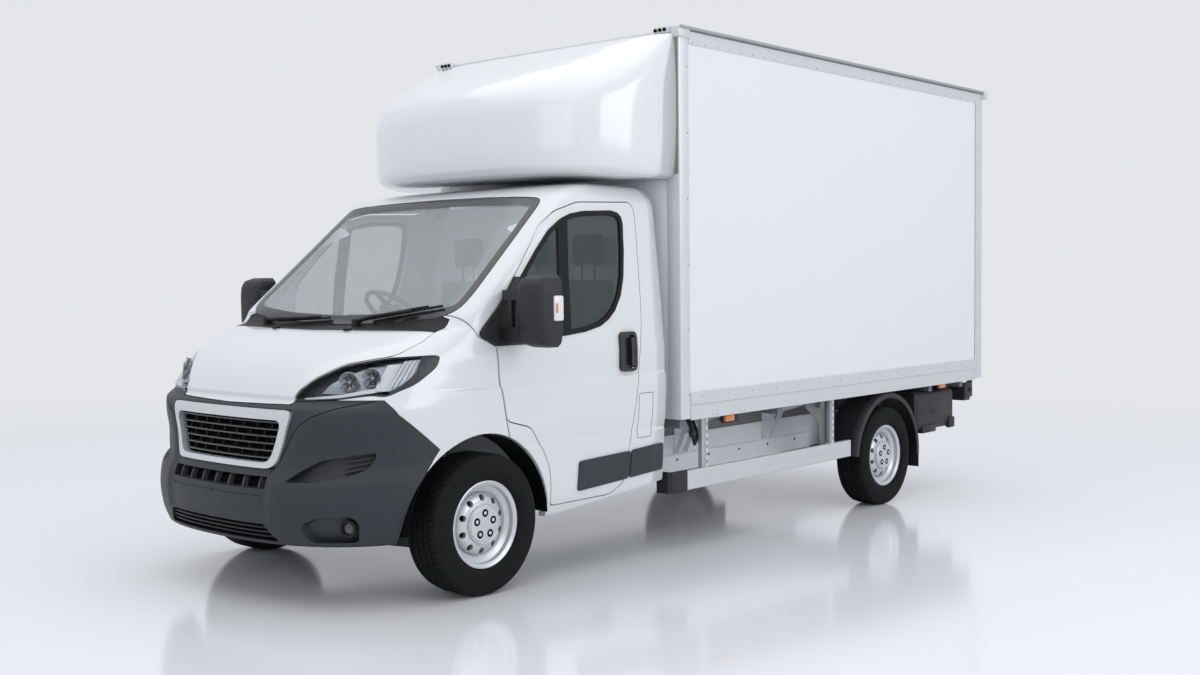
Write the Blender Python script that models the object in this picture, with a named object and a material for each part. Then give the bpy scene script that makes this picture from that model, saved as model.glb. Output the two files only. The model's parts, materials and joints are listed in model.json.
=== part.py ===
"""Box van: chassis cab, box body with a rounded fairing, roller shutter and column tail lift.

Metres, +Z up. The body is modelled with X to the vehicle's left, Y rearwards from the front axle and
Z up from the ground, then turned by its rake so that both axles' tyres meet the ground.
"""
import math

import bmesh
import bpy
from mathutils import Matrix, Vector

# General
BODY_RAKE = math.radians(1.2)
WHEELBASE = 4.035
FRONT_OVERHANG = 0.948
CONTACT_GAP = 0.0003
CUT_OVERRUN = 0.2
FLATNESS = 0.00001
SEAM = 0.0008

# Cab
CAB_REAR = 1.44
CAB_TOP = 2.15
CAB_HALF_WIDTH = 1.02
CAB_LENGTH = FRONT_OVERHANG + CAB_REAR
CAB_WALL = 0.05
DOOR_GAP = 0.012
DOOR_LEAN = math.radians(1.5)
DOOR_HINGE_PROUD = 0.002
DOOR_REACH = 0.20
BONNET_GAP = 0.005
BONNET_HINGE_RISE = 0.085
BONNET_HINGE_SET = 0.110
CAB_SKIN = 0.03
BUMPER_WALL = 0.05
CORNER_STEPS = 9
# height, nose, start of the flat side and half width as shares of the cab, then corner sharpness
CAB_LEVEL_SHARES = (
    (0.153, 0.018, 0.313, 0.936, 2.5), (0.195, 0.005, 0.313, 0.966, 2.5), (0.242, 0.001, 0.313, 0.975, 2.5),
    (0.288, 0.008, 0.313, 0.980, 2.5), (0.326, 0.026, 0.334, 0.985, 2.5), (0.372, 0.033, 0.355, 0.995, 2.6),
    (0.419, 0.037, 0.376, 0.998, 2.9), (0.454, 0.043, 0.397, 1.000, 3.1), (0.470, 0.062, 0.410, 1.000, 3.2),
    (0.488, 0.072, 0.418, 0.998, 3.2), (0.512, 0.084, 0.422, 0.996, 3.1), (0.535, 0.100, 0.426, 0.993, 3.0),
    (0.558, 0.123, 0.430, 0.990, 3.0), (0.581, 0.160, 0.430, 0.985, 3.0), (0.605, 0.217, 0.430, 0.980, 3.0),
    (0.621, 0.267, 0.430, 0.977, 3.2), (0.631, 0.322, 0.439, 0.975, 4.5), (0.665, 0.357, 0.451, 0.970, 6.0),
    (0.744, 0.439, 0.531, 0.953, 6.0), (0.837, 0.536, 0.627, 0.932, 6.0), (0.930, 0.632, 0.724, 0.909, 6.0),
    (0.955, 0.658, 0.749, 0.887, 6.0), (0.972, 0.690, 0.774, 0.853, 5.0), (0.984, 0.732, 0.816, 0.814, 4.0),
    (0.993, 0.795, 0.879, 0.745, 4.0), (1.000, 0.880, 0.940, 0.600, 4.0))

# Openings and seams of the cab, as (length, height) shares of the cab from its nose and the ground
DOOR_SHARES = (
    (0.460, 0.405), (0.442, 0.500), (0.437, 0.583), (0.389, 0.609), (0.392, 0.622), (0.458, 0.690),
    (0.600, 0.872), (0.650, 0.911),
    (0.727, 0.936), (0.915, 0.943), (0.926, 0.928), (0.928, 0.870), (0.921, 0.630), (0.897, 0.474),
    (0.868, 0.284), (0.852, 0.205), (0.804, 0.180), (0.604, 0.180), (0.603, 0.230), (0.596, 0.280),
    (0.575, 0.323), (0.532, 0.384))
WINDOW_SHARES = (
    (0.520, 0.604), (0.500, 0.622), (0.502, 0.690), (0.640, 0.862), (0.680, 0.890), (0.730, 0.902),
    (0.870, 0.906), (0.888, 0.888), (0.884, 0.690), (0.868, 0.650), (0.835, 0.632), (0.700, 0.604))
WING_REAR_SHARES = ((0.460, 0.405), (0.442, 0.500), (0.437, 0.583), (0.389, 0.609), (0.360, 0.660))
DOOR_POST_SHARES = ((0.365, 0.395), (0.470, 0.395), (0.470, 0.600), (0.420, 0.690), (0.365, 0.640))
BUMPER_SHARES = (
    (-0.100, 0.100), (0.205, 0.100), (0.205, 0.170), (0.224, 0.268), (0.246, 0.316), (0.274, 0.359),
    (0.186, 0.444), (0.167, 0.4765), (0.120, 0.4765), (-0.100, 0.4765))
# front-view outlines, as (width, height) shares of the cab's half width and height
HEADLAMP_SHARES = (
    (0.470, 0.472), (0.479, 0.490), (0.539, 0.520), (0.649, 0.551), (0.817, 0.568), (0.975, 0.574),
    (0.985, 0.535), (0.940, 0.503), (0.891, 0.481), (0.837, 0.488), (0.699, 0.478))
SCREEN_SHARES = (
    (0.000, 0.6330), (0.440, 0.6390), (0.780, 0.6530), (0.865, 0.6700), (0.878, 0.6980), (0.820, 0.9300),
    (0.795, 0.9450), (0.680, 0.9500), (0.390, 0.9545), (0.000, 0.9565))
BONNET_SHARES = (
    (0.000, 0.4600), (0.470, 0.4640), (0.473, 0.4900), (0.533, 0.5210), (0.645, 0.5530), (0.814, 0.5700),
    (0.838, 0.5780), (0.862, 0.6000), (0.850, 0.6500), (0.000, 0.7500))
BUMPER_SLOT_SHARES = ((0.000, 0.277), (0.392, 0.277), (0.392, 0.303), (0.000, 0.303))
LOWER_GRILLE_SHARES = ((0.000, 0.161), (0.462, 0.161), (0.395, 0.198), (0.000, 0.198))
# plan-view rear edge of the bonnet
BONNET_REAR_SHARES = ((0.000, 0.267), (0.400, 0.277), (0.700, 0.297), (0.860, 0.312), (0.950, 0.330))
SILL_SHARES = ((0.540, 0.000), (0.540, 0.146), (1.050, 0.198), (1.050, 0.000))
ROOF_EDGE_SHARE = 0.845
ROOF_LOW_SHARE = 0.967
HEADER_EDGE_SHARE = 0.784
HEADER_LOW_SHARE = 0.944
SCREEN_REAR_SHARE = 0.700
SCUTTLE_REAR_SHARE = 0.37
LAMP_REAR_SHARE = 0.29
ARCH_CENTRE_SHARES = (0.393, 0.156)
ARCH_RADIUS = 0.488
ARCH_STEPS = 20
GLASS_THICK = 0.006
GLASS_SET = 0.004
HANDLE_SHARES = ((0.829, 0.496), (0.890, 0.603))
HANDLE_PROUD = 0.018

# Cab floor, with its front and rear walls
FLOOR_THICK = 0.03
FLOOR_HEIGHT = 0.55
FLOOR_FRONT = 0.50
TOEBOARD_HEIGHT = 0.80
BULKHEAD_FOOT = 0.36
BULKHEAD_HEAD = 0.26
BULKHEAD_TOP = 1.24
CAB_REAR_GAP = 0.03
FLOOR_HALF_WIDTH = 0.88
REAR_WALL_TOP = 2.06
REAR_WALL_HALF_WIDTH = 0.79

# Grille
GRILLE_TOP_HALF = 0.524
GRILLE_BOTTOM_HALF = 0.424
GRILLE_TOP = 0.976
GRILLE_BOTTOM = 0.689
GRILLE_BAND = 0.035
GRILLE_DEPTH = 0.045
GRILLE_BAR = 0.006
GRILLE_BAR_COUNT = 5
GRILLE_DIVIDER_COUNT = 5

# Wheels and tyres
TYRE_RADIUS = 0.361
TYRE_WIDTH = 0.225
FRONT_TRACK = 1.81
REAR_TRACK = 1.79
RIM_RADIUS = 0.221
RIM_SEAT = 0.203
RIM_WELL = 0.170
RIM_WIDTH = 0.178
RIM_THICK = 0.005
DISC_OFFSET = 0.052
HAND_HOLE_COUNT = 10
HAND_HOLE_RADIUS = 0.0165
HAND_HOLE_SIDES = 6
HAND_HOLE_PITCH = 0.127
CAP_RADIUS = 0.075
WHEEL_STEPS = 20

# Running gear
KINGPIN_OFFSET = 0.165
KINGPIN_HALF_TRACK = FRONT_TRACK / 2 - KINGPIN_OFFSET
ARM_HEIGHT = 0.20
ARM_THICK = 0.05
ARM_WIDTH = 0.10
STUB_RADIUS = 0.03
KNUCKLE_RADIUS = 0.035
STRUT_RADIUS = 0.024
SPRING_RADIUS = 0.06
SPRING_BASE = 0.78
SPRING_TOP = 1.02
BRAKE_RADIUS = 0.14
BRAKE_THICK = 0.03
AXLE_RADIUS = 0.045
LEAF_THICK = 0.016
LEAF_WIDTH = 0.07
LEAF_LENGTH = 1.30
ROUND_STEPS = 12

# Chassis frame
RAIL_OUTER = 0.60
RAIL_WIDTH = 0.07
RAIL_THICK = 0.008
RAIL_BOTTOM = 0.361
RAIL_TOP = 0.62
RAIL_REAR = 5.30
RAIL_FRONT = 0.56
LEG_OUTER = 0.44
LEG_WIDTH = 0.06
LEG_BOTTOM = 0.30
LEG_TOP = 0.44
LEG_FRONT = -0.66
CAB_MOUNT_SHARES = (0.417, 0.903)
MEMBER_COUNT = 8
MEMBER_WIDTH = 0.06
MEMBER_BOTTOM = 0.46
MEMBER_TOP = 0.60
BEARER_WIDTH = 0.06
BEARER_TOP = 0.72
BEARER_FRONT = 1.62
CROSS_BEARER_COUNT = 8
CROSS_BEARER_WIDTH = 0.05
CROSS_BEARER_HALF = 0.98
CROSS_BEARER_SHORT = 0.74

# Box body
BOX_HALF_WIDTH = 1.044
BOX_FRONT = 1.554
BOX_REAR = 5.502
BOX_BOTTOM = 0.757
BOX_TOP = 3.048
BOX_WALL = 0.022
RAIL_DEPTH = 0.03
BOTTOM_RAIL = 0.153
TOP_RAIL = 0.088
DECK_THICK = 0.05
ROOF_SKIN = 0.03
POST_WIDTH = 0.091
REAR_POST = 0.116
REAR_HEADER = 0.22
SHUTTER_THICK = 0.02
SHUTTER_SET = 0.05

# Fairing over the cab
FAIRING_BOTTOM = 2.17
FAIRING_NOSE = 0.66
FAIRING_LENGTH = BOX_FRONT - CONTACT_GAP - FAIRING_NOSE
FAIRING_HEIGHT = BOX_TOP - FAIRING_BOTTOM
FAIRING_WALL = 0.02
FAIRING_STEPS = 8
# height share, nose share of the length, half-width share, corner sharpness
FAIRING_LEVEL_SHARES = (
    (0.000, 0.120, 0.930, 2.6), (0.020, 0.050, 0.955, 2.7), (0.060, 0.010, 0.970, 2.8),
    (0.200, 0.000, 0.980, 2.8), (0.400, 0.005, 0.985, 2.8), (0.520, 0.030, 0.985, 2.7),
    (0.600, 0.090, 0.980, 2.6), (0.680, 0.210, 0.970, 2.5), (0.760, 0.390, 0.955, 2.5),
    (0.840, 0.590, 0.940, 2.6), (0.910, 0.760, 0.920, 2.8), (0.955, 0.880, 0.900, 3.0))

# Side guards, mudguards, rear beam and power pack
GUARD_CLEARANCE = 0.01
GUARD_FRONT = CAB_REAR + GUARD_CLEARANCE
GUARD_REAR = 3.497
GUARD_BOTTOM = 0.323
GUARD_TOP = 0.440
GUARD_INSET = 0.044
GUARD_OUTER = BOX_HALF_WIDTH - GUARD_INSET
GUARD_THICK = 0.03
UPRIGHT_WIDTH = 0.05
UPRIGHT_SHARES = (0.195, 0.904)
MUDGUARD_RADIUS = 0.455
MUDGUARD_THICK = 0.012
MUDGUARD_INNER = 0.78
MUDGUARD_INSET = 0.024
MUDGUARD_OUTER = BOX_HALF_WIDTH - MUDGUARD_INSET
MUDGUARD_STEPS = 12
FLAP_BOTTOM = 0.144
FLAP_THICK = 0.008
PACK_FRONT = 4.52
PACK_REAR = 5.14
PACK_BOTTOM = 0.38
PACK_OUTER = 0.98
PACK_INNER = 0.66
BEAM_FRONT = 5.33
BEAM_REAR = 5.43
BEAM_BOTTOM = 0.579
BEAM_TOP = 0.70
BEAM_HALF = 0.98
LAMP_WIDTH = 0.26
LAMP_DEPTH = 0.025
LAMP_MARGIN = 0.02

# Tail lift
RUNNER_WIDTH = 0.055
RUNNER_DEPTH = 0.022
RUNNER_TOP = 2.216
CARRIAGE_BOTTOM = 0.79
CARRIAGE_HEIGHT = 0.16
PLATFORM_PIVOT = 0.812
PLATFORM_TOP = 2.071
PLATFORM_THICK = 0.03
PLATFORM_HALF = 0.90
PLATFORM_GAP = 0.006
BOSS_RADIUS = 0.04
BOSS_HEIGHT = 0.984

# Engine, tank and exhaust
ENGINE_LENGTH = 0.50
ENGINE_HALF_WIDTH = 0.34
ENGINE_FRONT = -0.62
ENGINE_BOTTOM = 0.30
ENGINE_TOP = 1.00
TANK_FRONT = 0.66
TANK_REAR = 1.36
TANK_HALF_WIDTH = 0.34
TANK_BOTTOM = 0.31
TANK_ROUND = 0.05
PIPE_RADIUS = 0.028
SILENCER_RADIUS = 0.08
SILENCER_LENGTH = 0.65
PIPE_SIDE = -0.30
PIPE_HEIGHT = 0.27

# Cab inside
SEAT_WIDTH = 0.50
SEAT_DEPTH = 0.50
DRIVER_CLEARANCE = 0.35
SEAT_SIDE = CAB_HALF_WIDTH - DRIVER_CLEARANCE - SEAT_WIDTH / 2
SEAT_FRONT = 0.68
SEAT_HEIGHT = 0.95
CUSHION = 0.14
BACK_TOP = 1.62
BACK_THICK = 0.13
SEAT_REST = 1.88
REST_WIDTH = 0.24
SEAT_SPACING = 0.09
BENCH_CLEARANCE = 0.18
BENCH_INNER = SEAT_WIDTH / 2 - SEAT_SIDE + SEAT_SPACING
BENCH_OUTER = CAB_HALF_WIDTH - BENCH_CLEARANCE
BENCH_WIDTH = BENCH_OUTER - BENCH_INNER
BENCH_SIDE = (BENCH_OUTER + BENCH_INNER) / 2
DASH_FRONT = 0.06
DASH_REAR = 0.46
DASH_TOP = 1.34
DASH_BOTTOM = 0.98
DASH_HALF = 0.86
WHEEL_RIM = 0.195
WHEEL_TUBE = 0.016
WHEEL_HEIGHT = 1.40
WHEEL_PLACE = 0.62
WHEEL_TILT = math.radians(40.0)
COLUMN_RADIUS = 0.03
RING_STEPS = 14
RING_SIDES = 6

# Mirrors
MIRROR_STANDOFF = 0.09
MIRROR_INNER = CAB_HALF_WIDTH + MIRROR_STANDOFF
MIRROR_WIDTH = 0.20
MIRROR_DEPTH = 0.12
MIRROR_PLACE = 0.11
MIRROR_BOTTOM = 1.26
MIRROR_TOP = 1.615
MIRROR_ARM = 0.02
MIRROR_ARM_SHARES = (0.20, 0.68)

SIDES = (("left", 1), ("right", -1))


# Materials
def material(name, colour, roughness, metallic=0.0):
    made = bpy.data.materials.new(name)
    made.use_nodes = True
    shader = made.node_tree.nodes["Principled BSDF"]
    shader.inputs["Base Color"].default_value = (*colour, 1.0)
    shader.inputs["Roughness"].default_value = roughness
    shader.inputs["Metallic"].default_value = metallic
    made.diffuse_color = (*colour, 1.0)
    return made


WHITE = dict(colour=(0.86, 0.87, 0.89), roughness=0.22)
SLATE = dict(colour=(0.07, 0.08, 0.095), roughness=0.55)
BLACK = dict(colour=(0.02, 0.02, 0.022), roughness=0.5)
RUBBER = dict(colour=(0.025, 0.025, 0.027), roughness=0.8)
ALUMINIUM = dict(colour=(0.72, 0.74, 0.76), roughness=0.35, metallic=0.9)
STEEL = dict(colour=(0.60, 0.62, 0.65), roughness=0.35, metallic=0.7)
GALVANISED = dict(colour=(0.50, 0.52, 0.54), roughness=0.5, metallic=0.6)
GLASS = dict(colour=(0.35, 0.45, 0.42), roughness=0.05)
CLOTH = dict(colour=(0.06, 0.065, 0.075), roughness=0.9)
LAMP = dict(colour=(0.55, 0.56, 0.58), roughness=0.15)


LOOKS = {"headlamp_": LAMP, "wing_": WHITE, "cab_side_": WHITE, "door_": WHITE, "door_glass_": GLASS,
         "mirror_": BLACK}


# Mesh helpers
def is_flat(face):
    centre = face.calc_center_median()
    return all(abs((vert.co - centre).dot(face.normal)) < FLATNESS for vert in face.verts)


def finish(name, bm, look, parent=None):
    """Turn a bmesh into a named object with a material of its own; only flat faces are left whole."""
    bmesh.ops.recalc_face_normals(bm, faces=bm.faces)
    warped = [face for face in bm.faces if len(face.verts) > 3 and not is_flat(face)]
    bmesh.ops.triangulate(bm, faces=warped)
    mesh = bpy.data.meshes.new(name)
    bm.to_mesh(mesh)
    bm.free()
    made = bpy.data.objects.new(name, mesh)
    bpy.context.scene.collection.objects.link(made)
    if look:
        mesh.materials.append(material(name + "_material", **look))
    if parent:
        made.parent = parent
    return made


def add_loft(bm, rings):
    """Skin closed rings of equal count and cap both ends."""
    rows = [[bm.verts.new(point) for point in ring] for ring in rings]
    count = len(rows[0])
    for low, high in zip(rows, rows[1:]):
        for k in range(count):
            bm.faces.new((low[k], low[(k + 1) % count], high[(k + 1) % count], high[k]))
    bm.faces.new(rows[0])
    bm.faces.new(rows[-1])


def loft(rings):
    bm = bmesh.new()
    add_loft(bm, rings)
    return bm


def prism(outline, axis, low, high):
    """Extrude a flat outline along an axis; the outline's pairs follow the other two axes in order."""
    def point(pair, depth):
        spots = list(pair)
        spots.insert("XYZ".index(axis), depth)
        return spots
    return loft([[point(pair, depth) for pair in outline] for depth in (low, high)])


def block(low, high):
    bm = bmesh.new()
    size = Vector(high) - Vector(low)
    middle = (Vector(high) + Vector(low)) / 2
    bmesh.ops.create_cube(bm, size=1, matrix=Matrix.Translation(middle) @ Matrix.Diagonal((*size, 1)))
    return bm


def rod(start, end, radius, steps=ROUND_STEPS):
    """A round bar between two points."""
    start, end = Vector(start), Vector(end)
    turn = (end - start).to_track_quat("Z", "Y").to_matrix().to_4x4()
    bm = bmesh.new()
    bmesh.ops.create_cone(bm, cap_ends=True, segments=steps, radius1=radius, radius2=radius,
                          depth=(end - start).length, matrix=Matrix.Translation((start + end) / 2) @ turn)
    return bm


def tube(points, radius, steps=ROUND_STEPS):
    """A round bar along a bent route."""
    points = [Vector(point) for point in points]
    rings = []
    for k, point in enumerate(points):
        before = points[max(k - 1, 0)]
        after = points[min(k + 1, len(points) - 1)]
        along = (after - before).normalized()
        side = along.cross(Vector((0, 0, 1)) if abs(along.z) < abs(along.x) + abs(along.y)
                           else Vector((1, 0, 0))).normalized()
        up = side.cross(along)
        rings.append([point + radius * (math.cos(turn) * side + math.sin(turn) * up)
                      for turn in [math.tau * j / steps for j in range(steps)]])
    return loft(rings)


def turned(profile, steps):
    """Turn a closed (along, radius) profile about the X axis."""
    bm = bmesh.new()
    rows = []
    for k in range(steps):
        turn = math.tau * k / steps
        rows.append([bm.verts.new((along, radius * math.cos(turn), radius * math.sin(turn)))
                     for along, radius in profile])
    for k in range(steps):
        one, two = rows[k], rows[(k + 1) % steps]
        for j in range(len(profile)):
            after = (j + 1) % len(profile)
            bm.faces.new((one[j], one[after], two[after], two[j]))
    return bm


def solid_turned(profile, steps):
    """Turn an open (along, radius) profile whose ends lie on the X axis."""
    bm = bmesh.new()
    first, last = profile[0], profile[-1]
    ends = [bm.verts.new((first[0], 0, 0)), bm.verts.new((last[0], 0, 0))]
    rows = []
    for k in range(steps):
        turn = math.tau * k / steps
        rows.append([bm.verts.new((along, radius * math.cos(turn), radius * math.sin(turn)))
                     for along, radius in profile[1:-1]])
    for k in range(steps):
        one, two = rows[k], rows[(k + 1) % steps]
        bm.faces.new((ends[0], two[0], one[0]))
        bm.faces.new((ends[1], one[-1], two[-1]))
        for j in range(len(one) - 1):
            bm.faces.new((one[j], two[j], two[j + 1], one[j + 1]))
    return bm


def mirrored(bm, side):
    """Flip a left-hand shape to the other side where the side is -1."""
    if side < 0:
        bmesh.ops.scale(bm, verts=bm.verts, vec=Vector((-1, 1, 1)))
    return bm


def boolean(target, tool_bm, operation):
    """Join, cut or cross the target with a tool shape and keep the plain result."""
    tool = finish("tool", tool_bm, None)
    change = target.modifiers.new(operation.lower(), "BOOLEAN")
    change.operation = operation
    change.object = tool
    shapes = bpy.context.evaluated_depsgraph_get()
    result = bpy.data.meshes.new_from_object(target.evaluated_get(shapes), depsgraph=shapes)
    target.modifiers.clear()
    old = target.data
    result.name = old.name
    target.data = result
    bpy.data.meshes.remove(old)
    tool_mesh = tool.data
    bpy.data.objects.remove(tool)
    bpy.data.meshes.remove(tool_mesh)
    return target


def joined(name, shapes, look, parent=None):
    first = finish(name, shapes[0], look, None)
    for shape in shapes[1:]:
        boolean(first, shape, "UNION")
    if parent:
        first.parent = parent
    return first


def grown(outline, amount):
    """Move a closed outline outwards by an amount, or inwards where it is negative."""
    area = sum(a[0] * b[1] - b[0] * a[1] for a, b in zip(outline, outline[1:] + outline[:1]))
    way = amount if area > 0 else -amount
    out = []
    for before, here, after in zip(outline[-1:] + outline[:-1], outline, outline[1:] + outline[:1]):
        one = (Vector(here) - Vector(before)).normalized()
        two = (Vector(after) - Vector(here)).normalized()
        normal = Vector((one.y + two.y, -one.x - two.x)).normalized()
        reach = max(normal.dot(Vector((one.y, -one.x))), math.sqrt(0.25))
        out.append(tuple(Vector(here) + normal * way / reach))
    return out


def mirror_outline(half):
    """Close a front-view half outline across the middle."""
    return list(half) + [(-x, z) for x, z in reversed(half) if x > 0]


def side_outline(shares):
    return [(CAB_LENGTH * along - FRONT_OVERHANG, CAB_TOP * up) for along, up in shares]


def front_outline(shares):
    return [(CAB_HALF_WIDTH * out, CAB_TOP * up) for out, up in shares]


def plan_ring(height, nose, side_start, half_width, sharpness, rear, steps):
    """One level of a rounded-nose body, from the middle of its nose round to the rear."""
    half = []
    for k in range(steps + 1):
        turn = math.pi / 2 * k / steps
        x = half_width * math.sin(turn) ** (2 / sharpness)
        y = side_start - (side_start - nose) * math.cos(turn) ** (2 / sharpness)
        half.append((x, y, height))
    half.append((half_width, rear, height))
    return half + [(-x, y, z) for x, y, z in reversed(half[1:])]


# Cab hull, from which every outer panel is cut
def cab_levels():
    return [(CAB_TOP * up, CAB_LENGTH * nose - FRONT_OVERHANG, CAB_LENGTH * flat - FRONT_OVERHANG,
             CAB_HALF_WIDTH * wide, sharp) for up, nose, flat, wide, sharp in CAB_LEVEL_SHARES]


def cab_rings():
    return [plan_ring(*level, CAB_REAR, CORNER_STEPS) for level in cab_levels()]


def level_at(levels, height):
    """The hull's level at any height, between those of the table."""
    for low, high in zip(levels, levels[1:]):
        if height <= high[0]:
            share = (height - low[0]) / (high[0] - low[0])
            return tuple(a + (b - a) * share for a, b in zip(low, high))
    return levels[-1]


def surface_height(along):
    """Height of the hull's middle line at a place along the cab."""
    levels = cab_levels()
    for low, high in zip(levels, levels[1:]):
        if low[1] <= along < high[1]:
            return low[0] + (high[0] - low[0]) * (along - low[1]) / (high[1] - low[1])
    return CAB_TOP


def cab_solid(depth):
    """The hull with its wall's depth taken off, open past the rear and below so that it cuts cleanly."""
    levels = cab_levels()
    inner = []
    for k, level in enumerate(levels):
        before, after = levels[max(k - 1, 0)], levels[min(k + 1, len(levels) - 1)]
        rise = after[0] - before[0]
        height, nose, flat, half, sharp = level
        nose += depth * math.hypot(1, (after[1] - before[1]) / rise)
        half -= depth * math.hypot(1, (after[3] - before[3]) / rise)
        inner.append((height, nose, max(flat, nose + depth), half, sharp))
    ceiling = CAB_TOP - depth
    kept = [level for level in inner if level[0] < ceiling - CONTACT_GAP]
    kept.append(level_at(inner, ceiling))
    first = kept[0]
    kept.insert(0, (first[0] - CUT_OVERRUN, *first[1:]))
    return loft([plan_ring(*level, CAB_REAR + CUT_OVERRUN, CORNER_STEPS) for level in kept])


def cab_panel(name, wall, look, keep=(), cuts=(), parent=None):
    """A piece of the cab skin of a given wall, kept inside some shapes and cut by others."""
    piece = finish(name, loft(cab_rings()), look)
    for shape in keep:
        boolean(piece, shape, "INTERSECT")
    for shape in cuts:
        boolean(piece, shape, "DIFFERENCE")
    boolean(piece, cab_solid(wall), "DIFFERENCE")
    if parent:
        piece.parent = parent
    return piece


def through_sides(outline, side=None):
    """A side-view outline as a cutter through both sides or one."""
    reach = CAB_HALF_WIDTH + CUT_OVERRUN
    low, high = (-reach, reach) if side is None else sorted((0, side * reach))
    return prism(outline, "X", low, high)


def from_front(outline, rear):
    return prism(outline, "Y", -FRONT_OVERHANG - CUT_OVERRUN, rear)


def arch(radius, side):
    """The front wheel's opening, as a cutter on one side."""
    centre = side_outline([ARCH_CENTRE_SHARES])[0]
    low, high = sorted((0, side * (CAB_HALF_WIDTH + CUT_OVERRUN)))
    outline = [(centre[0] + radius * math.cos(math.tau * k / ARCH_STEPS),
                centre[1] + radius * math.sin(math.tau * k / ARCH_STEPS)) for k in range(ARCH_STEPS)]
    return prism(outline, "X", low, high)


def half_space(side, inner=0):
    """Everything on one side of the middle, ahead of the cab's rear."""
    low, high = sorted((side * inner, side * (CAB_HALF_WIDTH + CUT_OVERRUN)))
    return block((low, -FRONT_OVERHANG - CUT_OVERRUN, -CUT_OVERRUN),
                 (high, CAB_REAR + CUT_OVERRUN, CAB_TOP + CUT_OVERRUN))


SCREEN = mirror_outline(front_outline(SCREEN_SHARES))
BONNET_FRONT = mirror_outline(front_outline(BONNET_SHARES))
SCREEN_REAR = CAB_LENGTH * SCREEN_REAR_SHARE - FRONT_OVERHANG
SCUTTLE_REAR = CAB_LENGTH * SCUTTLE_REAR_SHARE - FRONT_OVERHANG
LAMP_REAR = CAB_LENGTH * LAMP_REAR_SHARE - FRONT_OVERHANG
DOOR = side_outline(DOOR_SHARES)
WINDOW = side_outline(WINDOW_SHARES)
WING_REAR = side_outline(WING_REAR_SHARES)
BUMPER = side_outline(BUMPER_SHARES)
HEADLAMP = front_outline(HEADLAMP_SHARES)
ROOF_EDGE = CAB_HALF_WIDTH * ROOF_EDGE_SHARE
ROOF_LOW = CAB_TOP * ROOF_LOW_SHARE
HEADER_EDGE = CAB_HALF_WIDTH * HEADER_EDGE_SHARE
HEADER_LOW = CAB_TOP * HEADER_LOW_SHARE


def bonnet_plan(shift):
    """Plan-view area ahead of the bonnet's rear edge, moved rearwards by a shift."""
    edge = [(CAB_HALF_WIDTH * out, CAB_LENGTH * along - FRONT_OVERHANG + shift)
            for out, along in BONNET_REAR_SHARES]
    front = -FRONT_OVERHANG - CUT_OVERRUN
    half = edge + [(edge[-1][0], front)]
    return half + [(-x, y) for x, y in reversed(half) if x > 0]


def bonnet_zone(shift=0):
    return prism(bonnet_plan(shift), "Z", CAB_TOP * BONNET_SHARES[0][1] / 2, CAB_TOP)


def roof_zone(amount):
    half = [(HEADER_EDGE, HEADER_LOW), (HEADER_EDGE, ROOF_LOW), (ROOF_EDGE, ROOF_LOW),
            (ROOF_EDGE, CAB_TOP + CUT_OVERRUN)]
    return prism(grown(mirror_outline(half), amount), "Y", -FRONT_OVERHANG, CAB_REAR + CUT_OVERRUN)


def ahead_of_doors(amount):
    """Side-view area of the wings, ahead of the doors and screen pillars."""
    line = [(y + amount, z) for y, z in WING_REAR]
    front = -FRONT_OVERHANG - CUT_OVERRUN
    return [(front, 0)] + [(line[0][0] + ARCH_RADIUS / 2, 0)] + line + [(front, line[-1][1])]


def lamp_zone(side, amount):
    outline = [(side * x, z) for x, z in grown(HEADLAMP, amount)]
    return from_front(outline, LAMP_REAR)


def build_cab(root):
    glass_wall = GLASS_SET + GLASS_THICK
    cab_panel("cab_roof", CAB_SKIN, WHITE, keep=[roof_zone(0)],
              cuts=[from_front(grown(SCREEN, SEAM), SCREEN_REAR)], parent=root)
    cab_panel("windscreen", glass_wall, GLASS, keep=[from_front(SCREEN, SCREEN_REAR)], parent=root)
    bonnet = cab_panel("bonnet", CAB_SKIN, WHITE,
                       keep=[from_front(grown(BONNET_FRONT, -BONNET_GAP), 0), bonnet_zone()])
    rear_edge = CAB_LENGTH * BONNET_REAR_SHARES[0][1] - FRONT_OVERHANG
    hinge_place = (0, rear_edge + BONNET_HINGE_SET, surface_height(rear_edge) + BONNET_HINGE_RISE)
    adopt(bonnet, empty("bonnet_hinge", hinge_place, root))
    cab_panel("scuttle", CAB_SKIN, BLACK,
              keep=[from_front(BONNET_FRONT, SCUTTLE_REAR)],
              cuts=[bonnet_zone(CONTACT_GAP), from_front(grown(SCREEN, CONTACT_GAP), SCREEN_REAR)], parent=root)
    cab_panel("front_bumper", BUMPER_WALL, SLATE, keep=[through_sides(BUMPER)],
              cuts=[from_front(grown(BONNET_FRONT, SEAM), 0), lamp_zone(1, SEAM), lamp_zone(-1, SEAM),
                    arch(ARCH_RADIUS, 1), arch(ARCH_RADIUS, -1), from_front(grille_outline(CONTACT_GAP), 0),
                    from_front(mirror_outline(front_outline(BUMPER_SLOT_SHARES)), 0),
                    from_front(mirror_outline(front_outline(LOWER_GRILLE_SHARES)), 0)], parent=root)
    build_left_panels(root, glass_wall)
    mirror_cab(root)


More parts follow.
